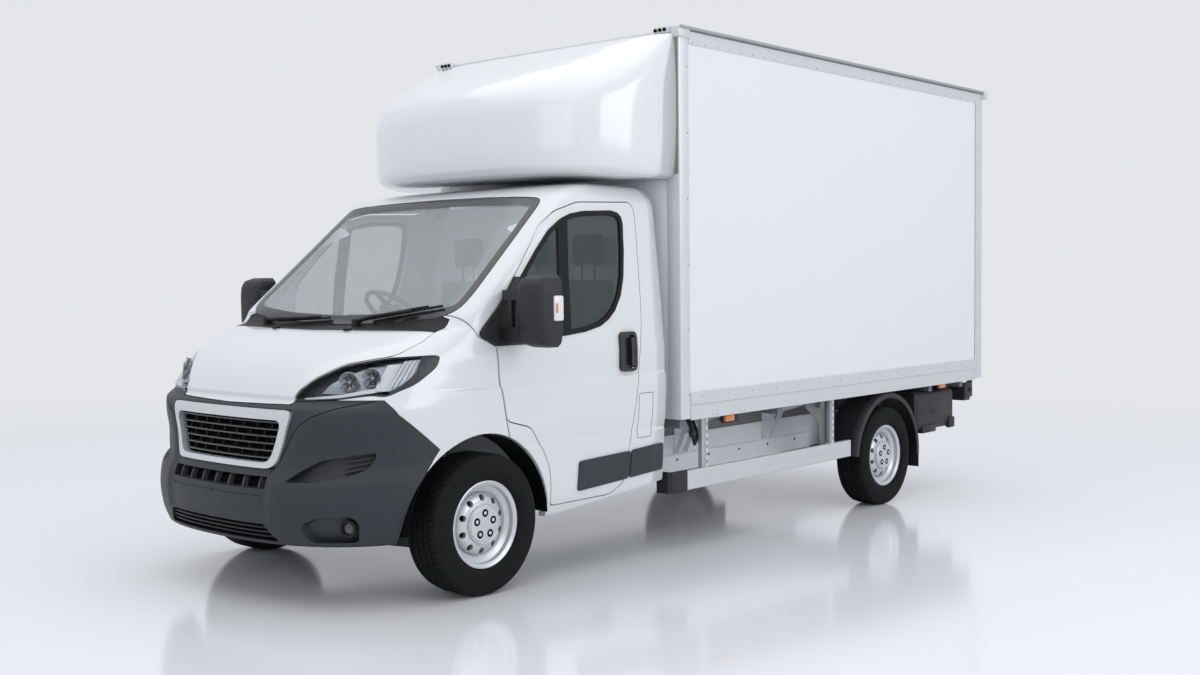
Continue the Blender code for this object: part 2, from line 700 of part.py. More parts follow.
def build_left_panels(root, glass_wall):
    lamp_cut = lamp_zone(1, SEAM)
    behind_bonnet = from_front(grown(BONNET_FRONT, SEAM), SCUTTLE_REAR + SEAM)
    cab_panel("headlamp_left", BUMPER_WALL, LAMP, keep=[lamp_zone(1, 0)],
              cuts=[from_front(grown(BONNET_FRONT, SEAM), 0)], parent=root)
    cab_panel("wing_left", CAB_SKIN, WHITE, keep=[half_space(1), through_sides(ahead_of_doors(-DOOR_GAP))],
              cuts=[behind_bonnet, from_front(grown(SCREEN, SEAM), SCREEN_REAR), lamp_cut,
                    through_sides(grown(BUMPER, SEAM)), arch(ARCH_RADIUS, 1)], parent=root)
    sidewall = cab_panel("cab_side_left", CAB_WALL, WHITE, keep=[half_space(1)],
                         cuts=[roof_zone(SEAM), through_sides(ahead_of_doors(SEAM)),
                               from_front(grown(BONNET_FRONT, SEAM), SCUTTLE_REAR + SEAM),
                               from_front(grown(SCREEN, SEAM), SCREEN_REAR),
                               through_sides(grown(DOOR, DOOR_GAP)), arch(ARCH_RADIUS, 1),
                               through_sides(side_outline(SILL_SHARES))])
    boolean(sidewall, door_post(1), "UNION")
    sidewall.parent = root
    hinge = empty("door_hinge_left", door_hinge(1), root, (0, -DOOR_LEAN, 0))
    reach = CAB_HALF_WIDTH - DOOR_REACH
    door = cab_panel("door_left", CAB_WALL, WHITE, keep=[half_space(1, reach), through_sides(DOOR)],
                     cuts=[through_sides(WINDOW)])
    boolean(door, door_handle(), "UNION")
    glass = cab_panel("door_glass_left", glass_wall, GLASS,
                      keep=[half_space(1, reach), through_sides(grown(WINDOW, -CONTACT_GAP))])
    for piece in (door, glass, build_mirror("left", 1)):
        adopt(piece, hinge)


def door_handle():
    """The pull handle's housing on the left door."""
    (front, low), (rear, high) = side_outline(HANDLE_SHARES)
    inner = level_at(cab_levels(), high)[3] - CAB_WALL / 2
    outer = level_at(cab_levels(), low)[3] + HANDLE_PROUD
    housing = block((inner, front, low), (outer, rear, high))
    bmesh.ops.bevel(housing, geom=[edge for edge in housing.edges], offset=HANDLE_PROUD / 2, segments=1,
                    affect="EDGES")
    return housing


def mirror_cab(root):
    """The right-hand panels, mirrored from the left ones."""
    hinge = empty("door_hinge_right", door_hinge(-1), root, (0, DOOR_LEAN, 0))
    for kind in ("headlamp_", "wing_", "cab_side_", "door_", "door_glass_", "mirror_"):
        source = bpy.data.objects[kind + "left"]
        shape = bmesh.new()
        shape.from_mesh(source.data)
        look = LOOKS[kind]
        piece = finish(kind + "right", mirrored(shape, -1), look)
        piece.parent = hinge if kind in ("door_", "door_glass_", "mirror_") else root


def door_post(side):
    """The hidden post behind the wing that carries the door."""
    post = finish("post", through_sides(side_outline(DOOR_POST_SHARES), side), None)
    boolean(post, cab_solid(CAB_SKIN + SEAM), "INTERSECT")
    boolean(post, cab_solid(CAB_SKIN + SEAM + CAB_WALL), "DIFFERENCE")
    boolean(post, through_sides(grown(DOOR, CONTACT_GAP)), "DIFFERENCE")
    boolean(post, from_front(grown(SCREEN, SEAM), SCREEN_REAR), "DIFFERENCE")
    shape = bmesh.new()
    shape.from_mesh(post.data)
    bpy.data.objects.remove(post)
    return shape


def door_hinge(side):
    y, z = min(DOOR)
    return (side * (CAB_HALF_WIDTH + DOOR_HINGE_PROUD), y, z)


def empty(name, place, parent=None, turn=(0, 0, 0)):
    made = bpy.data.objects.new(name, None)
    bpy.context.scene.collection.objects.link(made)
    made.location = place
    made.rotation_euler = turn
    if parent:
        made.parent = parent
    return made


def adopt(piece, joint):
    """Hang a piece, modelled in body coordinates, on its joint's empty."""
    place = Matrix.LocRotScale(joint.location, joint.rotation_euler, None)
    piece.data.transform(place.inverted())
    piece.parent = joint


def build_mirror(name, side):
    outer = MIRROR_INNER + MIRROR_WIDTH
    head = block((MIRROR_INNER, MIRROR_PLACE, MIRROR_BOTTOM), (outer, MIRROR_PLACE + MIRROR_DEPTH, MIRROR_TOP))
    edges = [edge for edge in head.edges]
    bmesh.ops.bevel(head, geom=edges, offset=MIRROR_DEPTH / 3, segments=2, profile=0.5, affect="EDGES")
    arm_place = MIRROR_PLACE + MIRROR_DEPTH / 2
    shapes = [mirrored(head, side)]
    for share in MIRROR_ARM_SHARES:
        height = MIRROR_BOTTOM + (MIRROR_TOP - MIRROR_BOTTOM) * share
        inner = level_at(cab_levels(), height - MIRROR_ARM)[3] + CONTACT_GAP
        shapes.append(mirrored(rod((inner, arm_place, height), (MIRROR_INNER + MIRROR_ARM, arm_place, height),
                                   MIRROR_ARM, 10), side))
    return joined("mirror_" + name, shapes, BLACK)


def grille_outline(amount):
    half = [(GRILLE_TOP_HALF, GRILLE_TOP), (GRILLE_BOTTOM_HALF, GRILLE_BOTTOM)]
    outline = [(-half[0][0], half[0][1]), half[0], half[1], (-half[1][0], half[1][1])]
    return grown(outline, amount)


def build_grille(root):
    """Bright surround, mesh bars and dividers cut to the front's own curve."""
    piece = finish("grille", loft(cab_rings()), STEEL)
    boolean(piece, from_front(grille_outline(0), 0), "INTERSECT")
    boolean(piece, cab_solid(GRILLE_DEPTH), "DIFFERENCE")
    inner = grown(grille_outline(0), -GRILLE_BAND)
    low, high = min(z for x, z in inner), max(z for x, z in inner)
    narrow, wide = min(x for x, z in inner if x > 0), max(x for x, z in inner)
    pitch = (high - low) / GRILLE_BAR_COUNT
    cell = 2 * wide / GRILLE_DIVIDER_COUNT
    openings = bmesh.new()
    for row in range(GRILLE_BAR_COUNT):
        bottom = low + row * pitch + GRILLE_BAR / 2
        top = bottom + pitch - GRILLE_BAR
        reach = narrow + (wide - narrow) * (bottom - low) / (high - low) - GRILLE_BAR
        for column in range(GRILLE_DIVIDER_COUNT):
            start = max(-wide + column * cell + GRILLE_BAR / 2, -reach)
            end = min(-wide + (column + 1) * cell - GRILLE_BAR / 2, reach)
            if end - start > GRILLE_BAR:
                add_loft(openings, [[(x, y, z) for x, z in ((start, bottom), (end, bottom), (end, top),
                                                            (start, top))]
                                    for y in (-FRONT_OVERHANG - CUT_OVERRUN, 0)])
    boolean(piece, openings, "DIFFERENCE")
    piece.parent = root


def build_cab_floor(root):
    rear = CAB_REAR - CAB_REAR_GAP
    outer = [(BULKHEAD_HEAD, BULKHEAD_TOP), (BULKHEAD_FOOT, TOEBOARD_HEIGHT + FLOOR_THICK),
             (FLOOR_FRONT, TOEBOARD_HEIGHT), (FLOOR_FRONT, FLOOR_HEIGHT), (rear, FLOOR_HEIGHT),
             (rear, REAR_WALL_TOP), (rear - FLOOR_THICK, REAR_WALL_TOP),
             (rear - FLOOR_THICK, FLOOR_HEIGHT + FLOOR_THICK),
             (FLOOR_FRONT + FLOOR_THICK, FLOOR_HEIGHT + FLOOR_THICK),
             (FLOOR_FRONT + FLOOR_THICK, TOEBOARD_HEIGHT + FLOOR_THICK / 2),
             (BULKHEAD_FOOT + FLOOR_THICK, TOEBOARD_HEIGHT + 2 * FLOOR_THICK),
             (BULKHEAD_HEAD + FLOOR_THICK, BULKHEAD_TOP)]
    piece = finish("cab_floor", prism(outer, "X", -CAB_HALF_WIDTH, CAB_HALF_WIDTH), WHITE)
    boolean(piece, cab_solid(CAB_WALL + CONTACT_GAP), "INTERSECT")
    piece.parent = root


def build_inside(root):
    steer = -SEAT_SIDE
    shelf_top = BULKHEAD_TOP + CONTACT_GAP
    shelf = [(BULKHEAD_FOOT + FLOOR_THICK + CONTACT_GAP, DASH_BOTTOM), (DASH_REAR, DASH_BOTTOM),
             (DASH_REAR + FLOOR_THICK, (DASH_BOTTOM + DASH_TOP) / 2), (DASH_REAR - FLOOR_THICK, DASH_TOP),
             (DASH_FRONT, DASH_TOP), (DASH_FRONT, shelf_top),
             (BULKHEAD_HEAD + FLOOR_THICK + CONTACT_GAP * 2, shelf_top)]
    piece = finish("dashboard", prism(shelf, "X", -DASH_HALF, DASH_HALF), SLATE)
    boolean(piece, cab_solid(CAB_WALL + CONTACT_GAP), "INTERSECT")
    piece.parent = root
    normal = Vector((0, math.sin(WHEEL_TILT), math.cos(WHEEL_TILT)))
    across = Vector((0, -math.cos(WHEEL_TILT), math.sin(WHEEL_TILT)))
    centre = Vector((steer, WHEEL_PLACE, WHEEL_HEIGHT))
    rim = bmesh.new()
    rows = []
    for k in range(RING_STEPS):
        turn = math.tau * k / RING_STEPS
        out = math.cos(turn) * Vector((1, 0, 0)) + math.sin(turn) * across
        rows.append([rim.verts.new(centre + out * (WHEEL_RIM + WHEEL_TUBE * math.cos(a))
                                   + normal * WHEEL_TUBE * math.sin(a))
                     for a in [math.tau * j / RING_SIDES for j in range(RING_SIDES)]])
    for row, after in zip(rows, rows[1:] + rows[:1]):
        for j in range(RING_SIDES):
            rim.faces.new((row[j], row[(j + 1) % RING_SIDES], after[(j + 1) % RING_SIDES], after[j]))
    shapes = [rim]
    for angle in (0, math.pi, math.pi * 1.5):
        out = math.cos(angle) * Vector((1, 0, 0)) + math.sin(angle) * across
        shapes.append(rod(centre, centre + out * WHEEL_RIM, WHEEL_TUBE * 0.8, 8))
    foot, head = Vector((0, *shelf[2])), Vector((0, *shelf[3]))
    facing = Vector((1, 0, 0)).cross(foot - head).normalized()
    clearance = CONTACT_GAP + COLUMN_RADIUS * abs(across.dot(facing))
    reach = ((centre - foot).dot(facing) - clearance) / normal.dot(facing)
    shapes.append(rod(centre + normal * WHEEL_TUBE, centre - normal * WHEEL_TUBE * 2, COLUMN_RADIUS * 2, 12))
    shapes.append(rod(centre, centre - normal * reach, COLUMN_RADIUS, 12))
    adopt(joined("steering_wheel", shapes, BLACK), empty("steering_column", centre, root, (-WHEEL_TILT, 0, 0)))
    for name, side, width, middle in (("driver", -1, SEAT_WIDTH, SEAT_SIDE), ("passenger", 1, BENCH_WIDTH,
                                                                               BENCH_SIDE)):
        left, right = side * middle - width / 2, side * middle + width / 2
        rear = SEAT_FRONT + SEAT_DEPTH
        base = FLOOR_HEIGHT + FLOOR_THICK + CONTACT_GAP
        profile = [(SEAT_FRONT + CUSHION, base), (rear, base), (rear + BACK_THICK, BACK_TOP),
                   (rear, BACK_TOP), (rear - CUSHION, SEAT_HEIGHT), (SEAT_FRONT, SEAT_HEIGHT),
                   (SEAT_FRONT, SEAT_HEIGHT - CUSHION), (SEAT_FRONT + CUSHION, SEAT_HEIGHT - CUSHION)]
        shapes = [prism(profile, "X", left, right)]
        rests = 1 if name == "driver" else 2
        for k in range(rests):
            centre_x = left + (right - left) * (2 * k + 1) / (2 * rests)
            shapes.append(block((centre_x - REST_WIDTH / 2, rear, BACK_TOP - CUSHION),
                                (centre_x + REST_WIDTH / 2, rear + BACK_THICK, SEAT_REST)))
        joined("seat_" + name, shapes, CLOTH, root)


# Wheels and tyres
def wheel_bm():
    """Steel disc wheel with a well base rim, its outer side towards +X, about its own centre."""
    edge = RIM_WIDTH / 2
    thick = RIM_THICK
    face = DISC_OFFSET
    outer = [(-edge, RIM_RADIUS), (-edge + thick, RIM_SEAT), (-edge * 0.5, RIM_SEAT),
             (-edge * 0.35, RIM_WELL), (edge * 0.45, RIM_WELL), (edge * 0.6, RIM_SEAT),
             (edge - thick, RIM_SEAT), (edge, RIM_RADIUS), (edge + thick, RIM_RADIUS),
             (edge, RIM_SEAT - thick), (edge * 0.62, RIM_WELL - thick),
             (face + 2 * thick, HAND_HOLE_PITCH), (face + 5 * thick, CAP_RADIUS),
             (face + 7 * thick, CAP_RADIUS * 0.93), (face + 7 * thick, 0)]
    inner = [(face, 0), (face, CAP_RADIUS), (face - thick, HAND_HOLE_PITCH), (edge * 0.38, RIM_WELL - thick),
             (-edge * 0.40, RIM_WELL - thick), (-edge, RIM_SEAT - thick)]
    profile = [outer[-1]] + list(reversed(outer[:-1])) + list(reversed(inner[1:])) + [inner[0]]
    return solid_turned(profile, WHEEL_STEPS)


def tyre_bm():
    half = TYRE_WIDTH / 2
    seat = RIM_SEAT + CONTACT_GAP
    edge = RIM_WIDTH / 2 - RIM_THICK - CONTACT_GAP
    profile = [(-edge, seat + RIM_THICK), (-edge, RIM_RADIUS), (-half * 0.94, RIM_RADIUS * 1.18),
               (-half, (RIM_RADIUS + TYRE_RADIUS) / 2), (-half * 0.95, TYRE_RADIUS * 0.95),
               (-half * 0.78, TYRE_RADIUS * 0.994), (0, TYRE_RADIUS), (half * 0.78, TYRE_RADIUS * 0.994),
               (half * 0.95, TYRE_RADIUS * 0.95), (half, (RIM_RADIUS + TYRE_RADIUS) / 2),
               (half * 0.94, RIM_RADIUS * 1.18), (edge, RIM_RADIUS), (edge, seat + RIM_THICK),
               (edge * 0.6, seat), (edge * 0.5, seat + RIM_THICK), (-edge * 0.5, seat + RIM_THICK)]
    return turned(profile, WHEEL_STEPS)


def axle_places():
    """Each axle's place in body coordinates, from wheels that stand level on the ground."""
    cos, sin = math.cos(BODY_RAKE), math.sin(BODY_RAKE)
    return {"front": (TYRE_RADIUS * sin, TYRE_RADIUS * cos),
            "rear": (WHEELBASE * cos + TYRE_RADIUS * sin, TYRE_RADIUS * cos - WHEELBASE * sin)}


def build_wheels(root):
    wheel_mesh = finish("wheel_shape", wheel_bm(), STEEL)
    for k in range(HAND_HOLE_COUNT):
        turn = math.tau * k / HAND_HOLE_COUNT
        spot = (0, HAND_HOLE_PITCH * 1.06 * math.cos(turn), HAND_HOLE_PITCH * 1.06 * math.sin(turn))
        hole = rod((DISC_OFFSET - CAP_RADIUS / 2, *spot[1:]), (DISC_OFFSET + CAP_RADIUS, *spot[1:]),
                   HAND_HOLE_RADIUS, HAND_HOLE_SIDES)
        boolean(wheel_mesh, hole, "DIFFERENCE")
    tyre_mesh = finish("tyre_shape", tyre_bm(), RUBBER)
    places = axle_places()
    for axle, track in (("front", FRONT_TRACK), ("rear", REAR_TRACK)):
        for name, side in SIDES:
            y, z = places[axle]
            hub = empty("hub_" + axle + "_" + name, (side * track / 2, y, z), root,
                        (0, 0, 0 if side > 0 else math.pi))
            for kind, source in (("wheel", wheel_mesh), ("tyre", tyre_mesh)):
                made = bpy.data.objects.new(kind + "_" + axle + "_" + name, source.data)
                bpy.context.scene.collection.objects.link(made)
                made.parent = hub
    for source in (wheel_mesh, tyre_mesh):
        bpy.data.objects.remove(source)


def build_running_gear(root):
    places = axle_places()
    y, z = places["front"]
    arm_top = ARM_HEIGHT + ARM_THICK
    cradle = block((-LEG_OUTER, -ARM_WIDTH * 2, ARM_HEIGHT + ARM_THICK / 2),
                   (LEG_OUTER, ARM_WIDTH * 2, LEG_BOTTOM - CONTACT_GAP))
    shapes = [cradle]
    for side in (1, -1):
        reach = side * KINGPIN_HALF_TRACK
        outline = [(side * (LEG_OUTER - ARM_WIDTH), y - ARM_WIDTH * 1.5), (reach, y - ARM_WIDTH * 0.4),
                   (reach, y + ARM_WIDTH * 0.4), (side * (LEG_OUTER - ARM_WIDTH), y + ARM_WIDTH * 1.5)]
        shapes.append(prism(outline, "Z", ARM_HEIGHT, arm_top))
        shapes.append(rod((reach, y, ARM_HEIGHT), (reach, y, arm_top), KNUCKLE_RADIUS * 1.3))
    joined("front_subframe", shapes, BLACK, root)
    stub_end = FRONT_TRACK / 2 + DISC_OFFSET - CONTACT_GAP
    for name, side in SIDES:
        reach = KINGPIN_HALF_TRACK
        pivot = empty("kingpin_" + name, (side * reach, y, z), root)
        shapes = [rod((reach, y, arm_top + CONTACT_GAP), (reach, y, z + KNUCKLE_RADIUS * 3), KNUCKLE_RADIUS),
                  rod((reach, y, z), (stub_end, y, z), STUB_RADIUS),
                  rod((reach, y, z), (reach, y, SPRING_TOP), STRUT_RADIUS),
                  rod((reach, y, SPRING_BASE), (reach, y, SPRING_TOP), SPRING_RADIUS),
                  rod((FRONT_TRACK / 2 - BRAKE_THICK, y, z), (FRONT_TRACK / 2, y, z), BRAKE_RADIUS, 20)]
        piece = joined("knuckle_" + name, [mirrored(shape, side) for shape in shapes], STEEL)
        adopt(piece, pivot)
    y, z = places["rear"]
    end = REAR_TRACK / 2 + DISC_OFFSET - CONTACT_GAP
    inner = RAIL_OUTER - RAIL_WIDTH
    shapes = [rod((-end, y, z), (end, y, z), STUB_RADIUS), rod((-inner - LEAF_WIDTH * 3, y, z),
                                                               (inner + LEAF_WIDTH * 3, y, z), AXLE_RADIUS)]
    for side in (1, -1):
        middle = side * (RAIL_OUTER - LEAF_WIDTH / 2)
        top = RAIL_BOTTOM - CONTACT_GAP
        seat = z + AXLE_RADIUS
        half = LEAF_LENGTH / 2
        profile = [(y - half, top), (y - half, top - LEAF_THICK), (y, seat - LEAF_THICK),
                   (y + half, top - LEAF_THICK), (y + half, top), (y, seat)]
        shapes.append(prism(profile, "X", middle - LEAF_WIDTH / 2, middle + LEAF_WIDTH / 2))
        drum = side * (REAR_TRACK / 2)
        shapes.append(rod((drum - BRAKE_THICK * side * 2, y, z), (drum, y, z), BRAKE_RADIUS, 20))
    joined("rear_axle", shapes, BLACK, root)


def channel(outer, width, bottom, top, thick, front, rear, side):
    """A side rail, open towards the middle."""
    inner = outer - width
    profile = [(outer, bottom), (outer, top), (inner, top), (inner, top - thick), (outer - thick, top - thick),
               (outer - thick, bottom + thick), (inner, bottom + thick), (inner, bottom)]
    return prism([(side * x, z) for x, z in profile], "Y", front, rear)


def build_chassis(root):
    shapes = []
    for side in (1, -1):
        shapes.append(channel(RAIL_OUTER, RAIL_WIDTH, RAIL_BOTTOM, RAIL_TOP - FLOOR_THICK, RAIL_THICK, CAB_REAR,
                              RAIL_REAR, side))
    pitch = (RAIL_REAR - CAB_REAR - MEMBER_WIDTH) / (MEMBER_COUNT - 1)
    for k in range(MEMBER_COUNT):
        start = CAB_REAR + k * pitch
        shapes.append(block((-RAIL_OUTER + RAIL_THICK / 2, start, MEMBER_BOTTOM),
                            (RAIL_OUTER - RAIL_THICK / 2, start + MEMBER_WIDTH, MEMBER_TOP - FLOOR_THICK)))
    for side in (1, -1):
        low, high = sorted((side * LEG_OUTER, side * (LEG_OUTER - LEG_WIDTH)))
        shapes.append(block((low, LEG_FRONT, LEG_BOTTOM), (high, CAB_REAR + pitch + MEMBER_WIDTH, LEG_TOP)))
        shapes.append(block((low, CAB_REAR, LEG_TOP - FLOOR_THICK),
                            (high, CAB_REAR + pitch + MEMBER_WIDTH, MEMBER_TOP - FLOOR_THICK * 2)))
        for share in CAB_MOUNT_SHARES:
            place = CAB_REAR * share
            shapes.append(block((low, place, LEG_TOP - RAIL_THICK),
                                (high, place + LEG_WIDTH, FLOOR_HEIGHT - CONTACT_GAP)))
    shapes.append(block((-LEG_OUTER, LEG_FRONT - LEG_WIDTH, LEG_BOTTOM), (LEG_OUTER, LEG_FRONT, LEG_TOP)))
    joined("chassis_frame", shapes, GALVANISED, root)
    shapes = []
    low_z = RAIL_TOP - FLOOR_THICK + CONTACT_GAP
    for side in (1, -1):
        low, high = sorted((side * RAIL_OUTER, side * (RAIL_OUTER - BEARER_WIDTH)))
        shapes.append(block((low, BEARER_FRONT, low_z), (high, RAIL_REAR, BEARER_TOP)))
    pitch = (RAIL_REAR - BEARER_FRONT - CROSS_BEARER_WIDTH) / (CROSS_BEARER_COUNT - 1)
    for k in range(CROSS_BEARER_COUNT):
        start = BEARER_FRONT + k * pitch
        near_wheel = abs(start + CROSS_BEARER_WIDTH / 2 - axle_places()["rear"][0]) < MUDGUARD_RADIUS + RAIL_WIDTH
        half = CROSS_BEARER_SHORT if near_wheel else CROSS_BEARER_HALF
        shapes.append(block((-half, start, BEARER_TOP - CROSS_BEARER_WIDTH / 2),
                            (half, start + CROSS_BEARER_WIDTH, BOX_BOTTOM - CONTACT_GAP)))
    joined("body_subframe", shapes, BLACK, root)


def build_engine(root):
    shape = block((-ENGINE_HALF_WIDTH, ENGINE_FRONT, ENGINE_BOTTOM),
                  (ENGINE_HALF_WIDTH, ENGINE_FRONT + ENGINE_LENGTH, ENGINE_TOP))
    joined("engine_block", [shape], GALVANISED, root)
    tank = block((-TANK_HALF_WIDTH, TANK_FRONT, TANK_BOTTOM),
                 (TANK_HALF_WIDTH, TANK_REAR, FLOOR_HEIGHT - CONTACT_GAP))
    long_edges = [edge for edge in tank.edges
                  if abs(edge.verts[0].co.x - edge.verts[1].co.x) > TANK_ROUND
                  or abs(edge.verts[0].co.z - edge.verts[1].co.z) > TANK_ROUND]
    bmesh.ops.bevel(tank, geom=long_edges, offset=TANK_ROUND, segments=3, profile=0.5, affect="EDGES")
    joined("fuel_tank", [tank], BLACK, root)


# Box body
def build_box(root):
    inner = BOX_HALF_WIDTH - RAIL_DEPTH
    wall_out = BOX_HALF_WIDTH - CONTACT_GAP
    low, high = BOX_BOTTOM + BOTTOM_RAIL, BOX_TOP - TOP_RAIL
    deck = BOX_BOTTOM + DECK_THICK
    body_front, body_rear = BOX_FRONT + POST_WIDTH, BOX_REAR - REAR_POST
    front, rear = body_front + CONTACT_GAP, body_rear - CONTACT_GAP
    floor = [(-BOX_HALF_WIDTH, BOX_BOTTOM), (BOX_HALF_WIDTH, BOX_BOTTOM), (BOX_HALF_WIDTH, low), (inner, low),
             (inner, deck), (-inner, deck), (-inner, low), (-BOX_HALF_WIDTH, low)]
    joined("box_floor", [prism(floor, "Y", front, rear)], ALUMINIUM, root)
    roof = [(-BOX_HALF_WIDTH, high), (-inner, high), (-inner, BOX_TOP - ROOF_SKIN), (inner, BOX_TOP - ROOF_SKIN),
            (inner, high), (BOX_HALF_WIDTH, high), (BOX_HALF_WIDTH, BOX_TOP), (-BOX_HALF_WIDTH, BOX_TOP)]
    joined("box_roof", [prism(roof, "Y", front, rear)], ALUMINIUM, root)
    for name, side in SIDES:
        start, end = sorted((side * (BOX_HALF_WIDTH - RAIL_THICK / 2),
                             side * (BOX_HALF_WIDTH - RAIL_THICK / 2 - BOX_WALL)))
        joined("box_side_" + name, [block((start, front, low + CONTACT_GAP), (end, rear, high - CONTACT_GAP))],
               WHITE, root)
    outer_box = block((-BOX_HALF_WIDTH, BOX_FRONT, BOX_BOTTOM), (BOX_HALF_WIDTH, body_front, BOX_TOP))
    hollow = block((-inner, BOX_FRONT + BOX_WALL, deck), (inner, body_front + CUT_OVERRUN, BOX_TOP - ROOF_SKIN))
    face = finish("box_front", outer_box, WHITE)
    boolean(face, hollow, "DIFFERENCE")
    face.parent = root
    frame = finish("box_rear_frame", block((-BOX_HALF_WIDTH, body_rear, BOX_BOTTOM),
                                           (BOX_HALF_WIDTH, BOX_REAR, BOX_TOP)), ALUMINIUM)
    boolean(frame, block((-BOX_HALF_WIDTH + REAR_POST, body_rear - CUT_OVERRUN, deck),
                         (BOX_HALF_WIDTH - REAR_POST, BOX_REAR + CUT_OVERRUN, BOX_TOP - REAR_HEADER)),
            "DIFFERENCE")
    frame.parent = root
    door_half = BOX_HALF_WIDTH - REAR_POST - CONTACT_GAP
    joined("roller_shutter", [block((-door_half, BOX_REAR - SHUTTER_SET - SHUTTER_THICK, deck + CONTACT_GAP),
                                    (door_half, BOX_REAR - SHUTTER_SET, BOX_TOP - REAR_HEADER - CONTACT_GAP))],
           ALUMINIUM, root)


def fairing_ring(level, inset):
    up, nose, wide, sharp = level
    z = FAIRING_BOTTOM + FAIRING_HEIGHT * up
    start = FAIRING_NOSE + FAIRING_LENGTH * nose
    side_start = start + (BOX_FRONT - start) * 0.75
    return plan_ring(z, start + inset, side_start, BOX_HALF_WIDTH * wide - inset, sharp,
                     BOX_FRONT - CONTACT_GAP, FAIRING_STEPS)


def build_fairing(root):
    outer = finish("fairing", loft([fairing_ring(level, 0) for level in FAIRING_LEVEL_SHARES]), WHITE)
    inside = [fairing_ring(level, FAIRING_WALL * 1.5) for level in FAIRING_LEVEL_SHARES]
    drop = FAIRING_WALL
    rings = [[(x, y + (CUT_OVERRUN if y >= BOX_FRONT - 2 * CONTACT_GAP else 0), z + drop) for x, y, z in inside[0]]]
    for ring in inside[2:-1]:
        rings.append([(x, y + (CUT_OVERRUN if y >= BOX_FRONT - 2 * CONTACT_GAP else 0), z - drop)
                      for x, y, z in ring])
    boolean(outer, loft(rings), "DIFFERENCE")
    outer.parent = root


# Side guards, mudguards, beam and power pack
def build_sides(root):
    places = axle_places()
    y_axle, z_axle = places["rear"]
    for name, side in SIDES:
        low, high = sorted((side * GUARD_OUTER, side * (GUARD_OUTER - GUARD_THICK)))
        shapes = [block((low, GUARD_FRONT, GUARD_BOTTOM), (high, GUARD_REAR, GUARD_TOP))]
        for share in UPRIGHT_SHARES:
            place = GUARD_FRONT + (GUARD_REAR - GUARD_FRONT) * share
            start, end = sorted((side * (GUARD_OUTER - GUARD_THICK * 2), side * (GUARD_OUTER - GUARD_THICK / 2)))
            shapes.append(block((start, place - UPRIGHT_WIDTH / 2, GUARD_BOTTOM + GUARD_THICK),
                                (end, place + UPRIGHT_WIDTH / 2, BOX_BOTTOM - CONTACT_GAP)))
        joined("side_guard_" + name, shapes, ALUMINIUM, root)
        ring = []
        for radius in (MUDGUARD_RADIUS, MUDGUARD_RADIUS + MUDGUARD_THICK):
            row = []
            for k in range(MUDGUARD_STEPS + 1):
                turn = math.radians(-5) + math.radians(175) * k / MUDGUARD_STEPS
                row.append((y_axle + radius * math.cos(turn), z_axle + radius * math.sin(turn)))
            ring.append(row)
        outline = ring[0] + list(reversed(ring[1]))
        low, high = sorted((side * MUDGUARD_INNER, side * MUDGUARD_OUTER))
        guard = prism(outline, "X", low, high)
        flap_y = y_axle + MUDGUARD_RADIUS * math.cos(math.radians(-5))
        flap = block((low, flap_y, FLAP_BOTTOM), (high, flap_y + FLAP_THICK, z_axle + MUDGUARD_RADIUS * 0.2))
        top = z_axle + MUDGUARD_RADIUS + MUDGUARD_THICK / 2
        foot = z_axle + TYRE_RADIUS + MUDGUARD_THICK
        inner, outer = RAIL_OUTER + CONTACT_GAP, MUDGUARD_INNER + MUDGUARD_THICK
        bracket = [(inner, foot), (outer, foot), (outer, top), (MUDGUARD_INNER, top),
                   (MUDGUARD_INNER, foot + MUDGUARD_THICK), (inner, foot + MUDGUARD_THICK)]
        stay = prism([(side * x, z) for x, z in bracket], "Y", y_axle - UPRIGHT_WIDTH / 2,
                     y_axle + UPRIGHT_WIDTH / 2)
        joined("mudguard_" + name, [guard, flap, stay], BLACK, root)
    pack = block((PACK_INNER, PACK_FRONT, PACK_BOTTOM),
                 (PACK_OUTER, PACK_REAR, BEARER_TOP - CROSS_BEARER_WIDTH / 2 - CONTACT_GAP))
    joined("power_pack", [pack], BLACK, root)
    beam = block((-BEAM_HALF, BEAM_FRONT, BEAM_BOTTOM), (BEAM_HALF, BEAM_REAR, BEAM_TOP))
    shapes = [beam]
    for side in (1, -1):
        low, high = sorted((side * RAIL_OUTER, side * (RAIL_OUTER - BEARER_WIDTH)))
        shapes.append(block((low, RAIL_REAR + CONTACT_GAP, BEAM_BOTTOM + RAIL_THICK),
                            (high, BEAM_FRONT + RAIL_THICK, BEAM_TOP - RAIL_THICK)))
        low, high = sorted((side * (BEAM_HALF - LAMP_MARGIN), side * (BEAM_HALF - LAMP_MARGIN - LAMP_WIDTH)))
        shapes.append(block((low, BEAM_REAR - LAMP_DEPTH, BEAM_BOTTOM + LAMP_MARGIN),
                            (high, BEAM_REAR + LAMP_DEPTH, BEAM_TOP - LAMP_MARGIN)))
    joined("rear_beam", shapes, BLACK, root)


